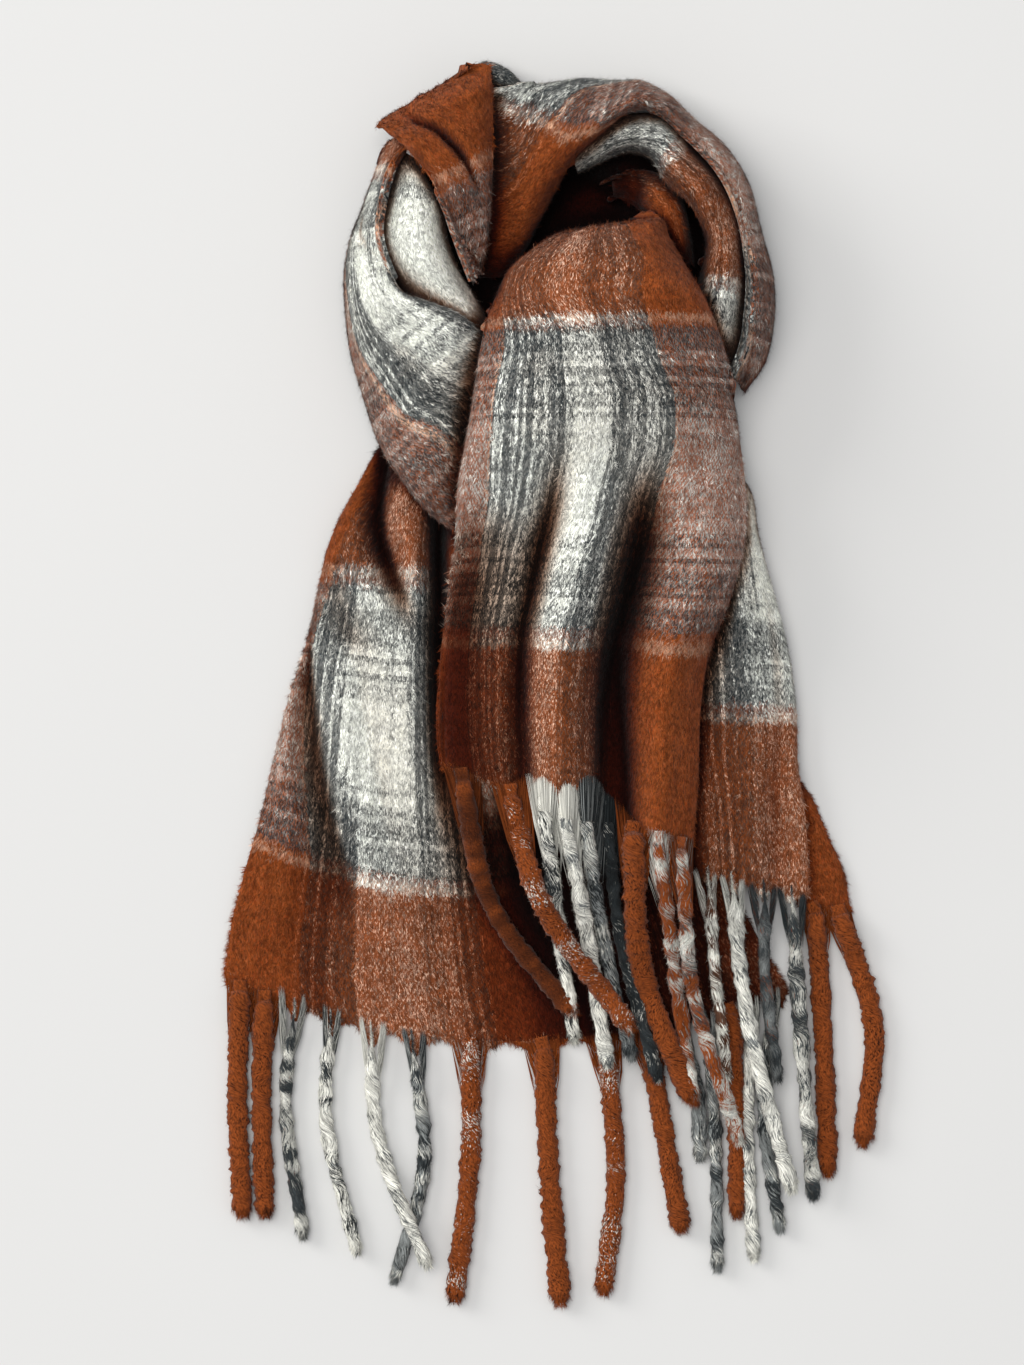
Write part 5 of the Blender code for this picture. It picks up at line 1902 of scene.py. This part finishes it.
@dataclass
class Studio:
    """Pale board, soft light from the upper left and overhead, and a camera that looks straight down."""

    camera_height: float = 2.4  # height of the camera over the board, in metres
    camera_reach: float = 20.0  # how far the camera sees
    view_middle: Pair = (-0.0248, 0.0007)  # place on the board that the camera looks at
    view_long: float = 0.7917  # long side of what it sees there
    sensor: float = 36.0  # width of the camera's sensor
    # The light that gives the scarf its shadow.
    key: SoftLight = SoftLight("key", (-6.2, 3.2, 3.8), 4.0, 300.0)
    top: SoftLight = SoftLight("top", (-1.4, 1.0, 7.4), 5.0, 350.0)  # the soft light overhead
    ambient: float = 0.42  # strength of the light from all sides
    air: str = "F4F6FA"  # its colour, as an sRGB hex value
    board_size: float = 6.0  # width of the board
    board_sunk: float = 0.0004  # how far the board lies below the scarf, so that the two don't touch

    def build(self) -> None:
        """Set the board, the lights, the air and the camera."""
        self.lay_board()
        self.key.hang()
        self.top.hang()
        world = bpy.data.worlds.new("air")
        world.use_nodes = True
        background = world.node_tree.nodes["Background"]
        background.inputs["Color"].default_value = linear(self.air)
        background.inputs["Strength"].default_value = self.ambient
        bpy.context.scene.world = world
        self.set_camera()

    def lay_board(self) -> None:
        """Lay the pale board."""
        half = self.board_size / 2
        mesh = bpy.data.meshes.new("board")
        mesh.from_pydata([(-half, -half, 0), (half, -half, 0), (half, half, 0), (-half, half, 0)], [],
            [(0, 1, 2, 3)])
        mesh.materials.append(PaintedBoard().make())
        board = bpy.data.objects.new("board", mesh)
        bpy.context.scene.collection.objects.link(board)
        board.location.z = -self.board_sunk

    def set_camera(self) -> None:
        """Hang the camera over the scarf."""
        lens = bpy.data.cameras.new("camera")
        lens.sensor_width = self.sensor
        lens.lens = self.sensor * self.camera_height / self.view_long
        lens.clip_end = self.camera_reach
        camera = bpy.data.objects.new("camera", lens)
        camera.location = (*self.view_middle, self.camera_height)
        bpy.context.scene.collection.objects.link(camera)
        bpy.context.scene.camera = camera
        bpy.context.scene.view_settings.view_transform = "Standard"


# ------------------------------ the scarf

STRETCHES = [
    Stretch(
        "loop_throat_roll", Slot.RUST, THROAT_ROLL, (0.066, 0.056),
        warp=((-1, -150), (-0.2, -104), (0.1, -92), (0.2, -84), (1, -50)),
        weft=((0, -112), (0.3, -100), (0.6, -104), (1, -150)),
        creases=THROAT_CREASES,
    ),
    Stretch(
        "loop_right_inner", Slot.MAUVE, RIGHT_INNER, (0.12, 0.18), reach=4.0,
        warp=((-1, -80), (-0.4, -45), (0.2, -10), (0.6, 20), (1, 60)),
        weft=((0, -42), (0.28, -82), (0.31, -87), (0.33, -92), (0.35, -98), (0.74, -192),
                    (0.76, -198), (0.78, -204), (0.9, -235), (1, -250)),
        creases=RIGHT_INNER_CREASES,
    ),
    Stretch(
        "loop_flap_behind", Slot.GREY, FLAP_BEHIND, (0.07, 0.04),
        warp=((-1, -50), (1, -80)),
        weft=((0, -60), (1, -80)),
    ),
    Stretch(
        "loop_back", Slot.MAUVE, LOOP_BACK, (0.095, 0.34), reach=5.0, warp_lean=-1.67, weft_lean=0.17,
        warp=((-1, -200), (0.9, -98), (0.96, -92), (1.0, -87), (1.6, -38), (2.0, 0)),
        weft=((-0.2, -170), (0.17, -98), (0.185, -92), (0.195, -87), (0.36, -42), (0.5, 0),
                    (0.62, 38), (0.8, 70), (1, 84)),
    ),
    Stretch(
        "loop_left_inner", Slot.CREAM, LEFT_INNER, (0.14, 0.11),
        warp=((-1, -24), (1, 22)),
        weft=((0, -60), (0.2, -32), (0.5, 0), (1, 25)),
    ),
    Stretch(
        "tail_left", Slot.CREAM, TAIL_LEFT, (0.30, 0.36), fullness=3.0,
        warp_lean=-0.62, lean_start=0.5, lean_end=0.74,
        warp=((-1.2, -150), (-0.76, -99), (-0.755, -86), (-0.58, -72), (-0.53, -30), (-0.36, 0),
                    (-0.20, 38), (-0.04, 86), (-0.035, 99), (0.35, 191), (0.355, 203), (1, 280)),
        weft=((0, 190), (0.30, 98), (0.318, 92), (0.326, 87), (0.40, 66), (0.47, 40), (0.57, 0),
                    (0.66, -38), (0.745, -87), (0.757, -92), (0.77, -98), (1, -190)),
        creases=TAIL_LEFT_CREASES,
    ),
    Stretch(
        "loop_left_front", Slot.GREY, LEFT_FRONT, (0.118, 0.275), fullness=2.3, reach=5.0, warp_lean=-0.9,
        warp=((-1, -160), (-0.36, -98), (-0.28, -92), (-0.24, -87), (0.2, -38), (0.4, 0), (1, 60)),
        weft=((0, -130), (0.16, -98), (0.2, -87), (0.3, -38), (0.42, 0), (0.6, 38), (0.85, 80),
                    (1, 86)),
        creases=LEFT_FRONT_CREASES,
    ),
    Stretch(
        "loop_top_flap", Slot.RUST, TOP_FLAP, (0.11, 0.115), fullness=2.4, reach=6.0,
        warp=((-1, 100), (1, 190)),
        weft=((0, 150), (0.46, 98), (0.5, 92), (0.54, 87), (1, 45)),
        creases=TOP_FLAP_CREASES,
    ),
    Stretch(
        "tail_front_selvedge", Slot.RUST, FRONT_SELVEDGE, (0.03, 0.09), fullness=3.0,
        warp=((-1, 100), (1, 190)),
        weft=((0, 120), (1, 190)),
    ),
    Stretch(
        "tail_front_underfold", Slot.GREY, FRONT_UNDERFOLD, (0.10, 0.27), fullness=2.6, reach=8.0,
        warp=((-1, -86), (-0.6, -80), (0, -50), (0.1, -44), (0.6, -10), (1, 30)),
        weft=((0, -60), (0.3, 0), (0.45, 38), (0.63, 87), (0.645, 92), (0.665, 98), (1, 190)),
        creases=UNDERFOLD_CREASES,
    ),
    Stretch(
        "tail_front", Slot.CREAM, TAIL_FRONT, (0.25, 0.33), fullness=2.5, reach=5.0,
        warp=((-1, -145), (-0.67, -99), (-0.665, -86), (-0.36, -50), (-0.27, -30), (-0.19, -10),
                    (-0.07, 24), (0.01, 60), (0.30, 86), (0.305, 99), (1, 170)),
        weft=((0, -150), (0.178, -98), (0.190, -92), (0.2, -87), (0.331, -38), (0.436, 0),
                    (0.539, 38), (0.70, 87), (0.715, 92), (0.735, 98), (1, 190)),
        creases=TAIL_FRONT_CREASES,
    ),
]

FRINGES = [Fringe("fringe_left", "tail_left", FRINGE_LEFT), Fringe("fringe_selvedge", "tail_front_selvedge",
    FRINGE_SELVEDGE), Fringe("fringe_underfold", "tail_front_underfold", FRINGE_UNDERFOLD, pitch=64.0),
    Fringe("fringe_front", "tail_front", FRINGE_FRONT, pitch=64.0, gather=36.0, ends=640, ends_reach=12.5,
    legs=False)]


@dataclass
class Scarf:
    """The whole scarf: hidden layers, stretches in the order in which they lie, nap and fringe."""

    core: HiddenLayers = field(default_factory=HiddenLayers)  # the hidden layers
    # The cloth that shows, from the bottom up.
    stretches: list[Stretch] = field(default_factory=lambda: STRETCHES)
    # The fringe of each hem, from the bottom up.
    fringes: list[Fringe] = field(default_factory=lambda: FRINGES)
    nap: Nap = field(default_factory=Nap)  # the raised fibres
    hem_nap: float = 0.9  # tufts of them on the hems' loosening strips, for each square millimetre
    pile: Pile = field(default_factory=Pile)  # everything that has been laid
    cloths: dict[Slot, Material] = field(default_factory=dict)  # material of the cloth for each slot
    naps: dict[Slot, Material] = field(default_factory=dict)  # the same for the nap

    def build(self) -> None:
        """Lay all the cloth, then the fringe, then grow the nap on what shows."""
        slots = [slot for slot in Slot if slot != Slot.FRINGE]
        self.cloths = {slot: BrushedWoolCheck(f"{slot.value}_cloth").make() for slot in slots}
        self.naps = {slot: BrushedWoolCheck(f"{slot.value}_raised_fibres", nap=True).make() for slot in slots}
        yarn = TwistedYarn().make()
        core_wall = self.core.lay(self.pile)
        walls = {stretch.node: stretch.lay(self.pile) for stretch in self.stretches}
        carriers = {stretch.node: stretch.slot for stretch in self.stretches}
        fringed: dict[str, list[Object]] = {}
        for number, part in enumerate(self.fringes):
            fringed[part.stretch] = self.add_fringe(
                part, walls[part.stretch], carriers[part.stretch], yarn, number)
        for hem, _, fuzz in fringed.values():
            shade_hollows(hem, self.pile)
            shade_hollows(fuzz, self.pile, 3)
        self.finish(self.core, core_wall, SEED)
        for number, stretch in enumerate(self.stretches):
            self.finish(stretch, walls[stretch.node], SEED + 10 * number)

    def add_fringe(self, part: Fringe, wall: Wall, slot: Slot, yarn: Material, number: int) -> list[Object]:
        """Make a hem's loosening strip, its strands and the strip's nap.

        Args:
          part: the fringe.
          wall: the stretch with the hem.
          slot: the stretch's material slot.
          yarn: the strands' material.
          number: which fringe it is, counted from 0.

        Returns:
          The strip, the strands and the nap.
        """
        hem, hem_wall = part.build_hem(wall, self.pile, self.cloths[slot])
        strands = part.build(wall, self.pile, yarn, SEED + 500 * number)
        fuzz, _ = self.nap.build(
            f"{part.node}_hem_nap", hem_wall, self.hem_nap, self.pile, self.naps[slot], SEED + number)
        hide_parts(part.node)
        for piece in (hem, strands, fuzz):
            self.report(piece)
        return [hem, strands, fuzz]

    def finish(
            self, part: Union[HiddenLayers, Stretch], wall: Wall, seed: int) -> None:
        """Args:
          part: the part.
          wall: the part as it was laid.
          seed: number of the nap's pattern.
        """
        piece = part.build(wall, self.cloths[part.slot])
        shade_hollows(piece, self.pile, 1, part.spread_pressed(wall))
        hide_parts(part.node)
        fibres, pressed = self.nap.build(
            f"{part.node}_nap", wall, part.nap, self.pile, self.naps[part.slot], seed)
        shade_hollows(fibres, self.pile, 3, pressed)
        self.report(piece)
        self.report(fibres)
        width = max(lengths(row)[-1] for row in wall.outer)
        middle = lengths(wall.outer[:, wall.outer.shape[1] // 2])[-1]
        log.info("%s: up to %.0f mm wide, %.0f mm long, %.4f square metres; cut %.4f", part.node, width,
                 middle, cell_areas(wall.outer).sum() * MM * MM, part.flat[0] * part.flat[1])

    def report(self, piece: Object) -> None:
        """Log a finished piece."""
        mesh = piece.data
        log.info("%s: %d triangles", piece.name, len(mesh.loops) - 2 * len(mesh.polygons))


def main() -> None:
    """Build the studio and the scarf."""
    logging.basicConfig(level=logging.INFO, format="%(message)s")
    Studio().build()
    Scarf().build()


if __name__ == "__main__":
    main()
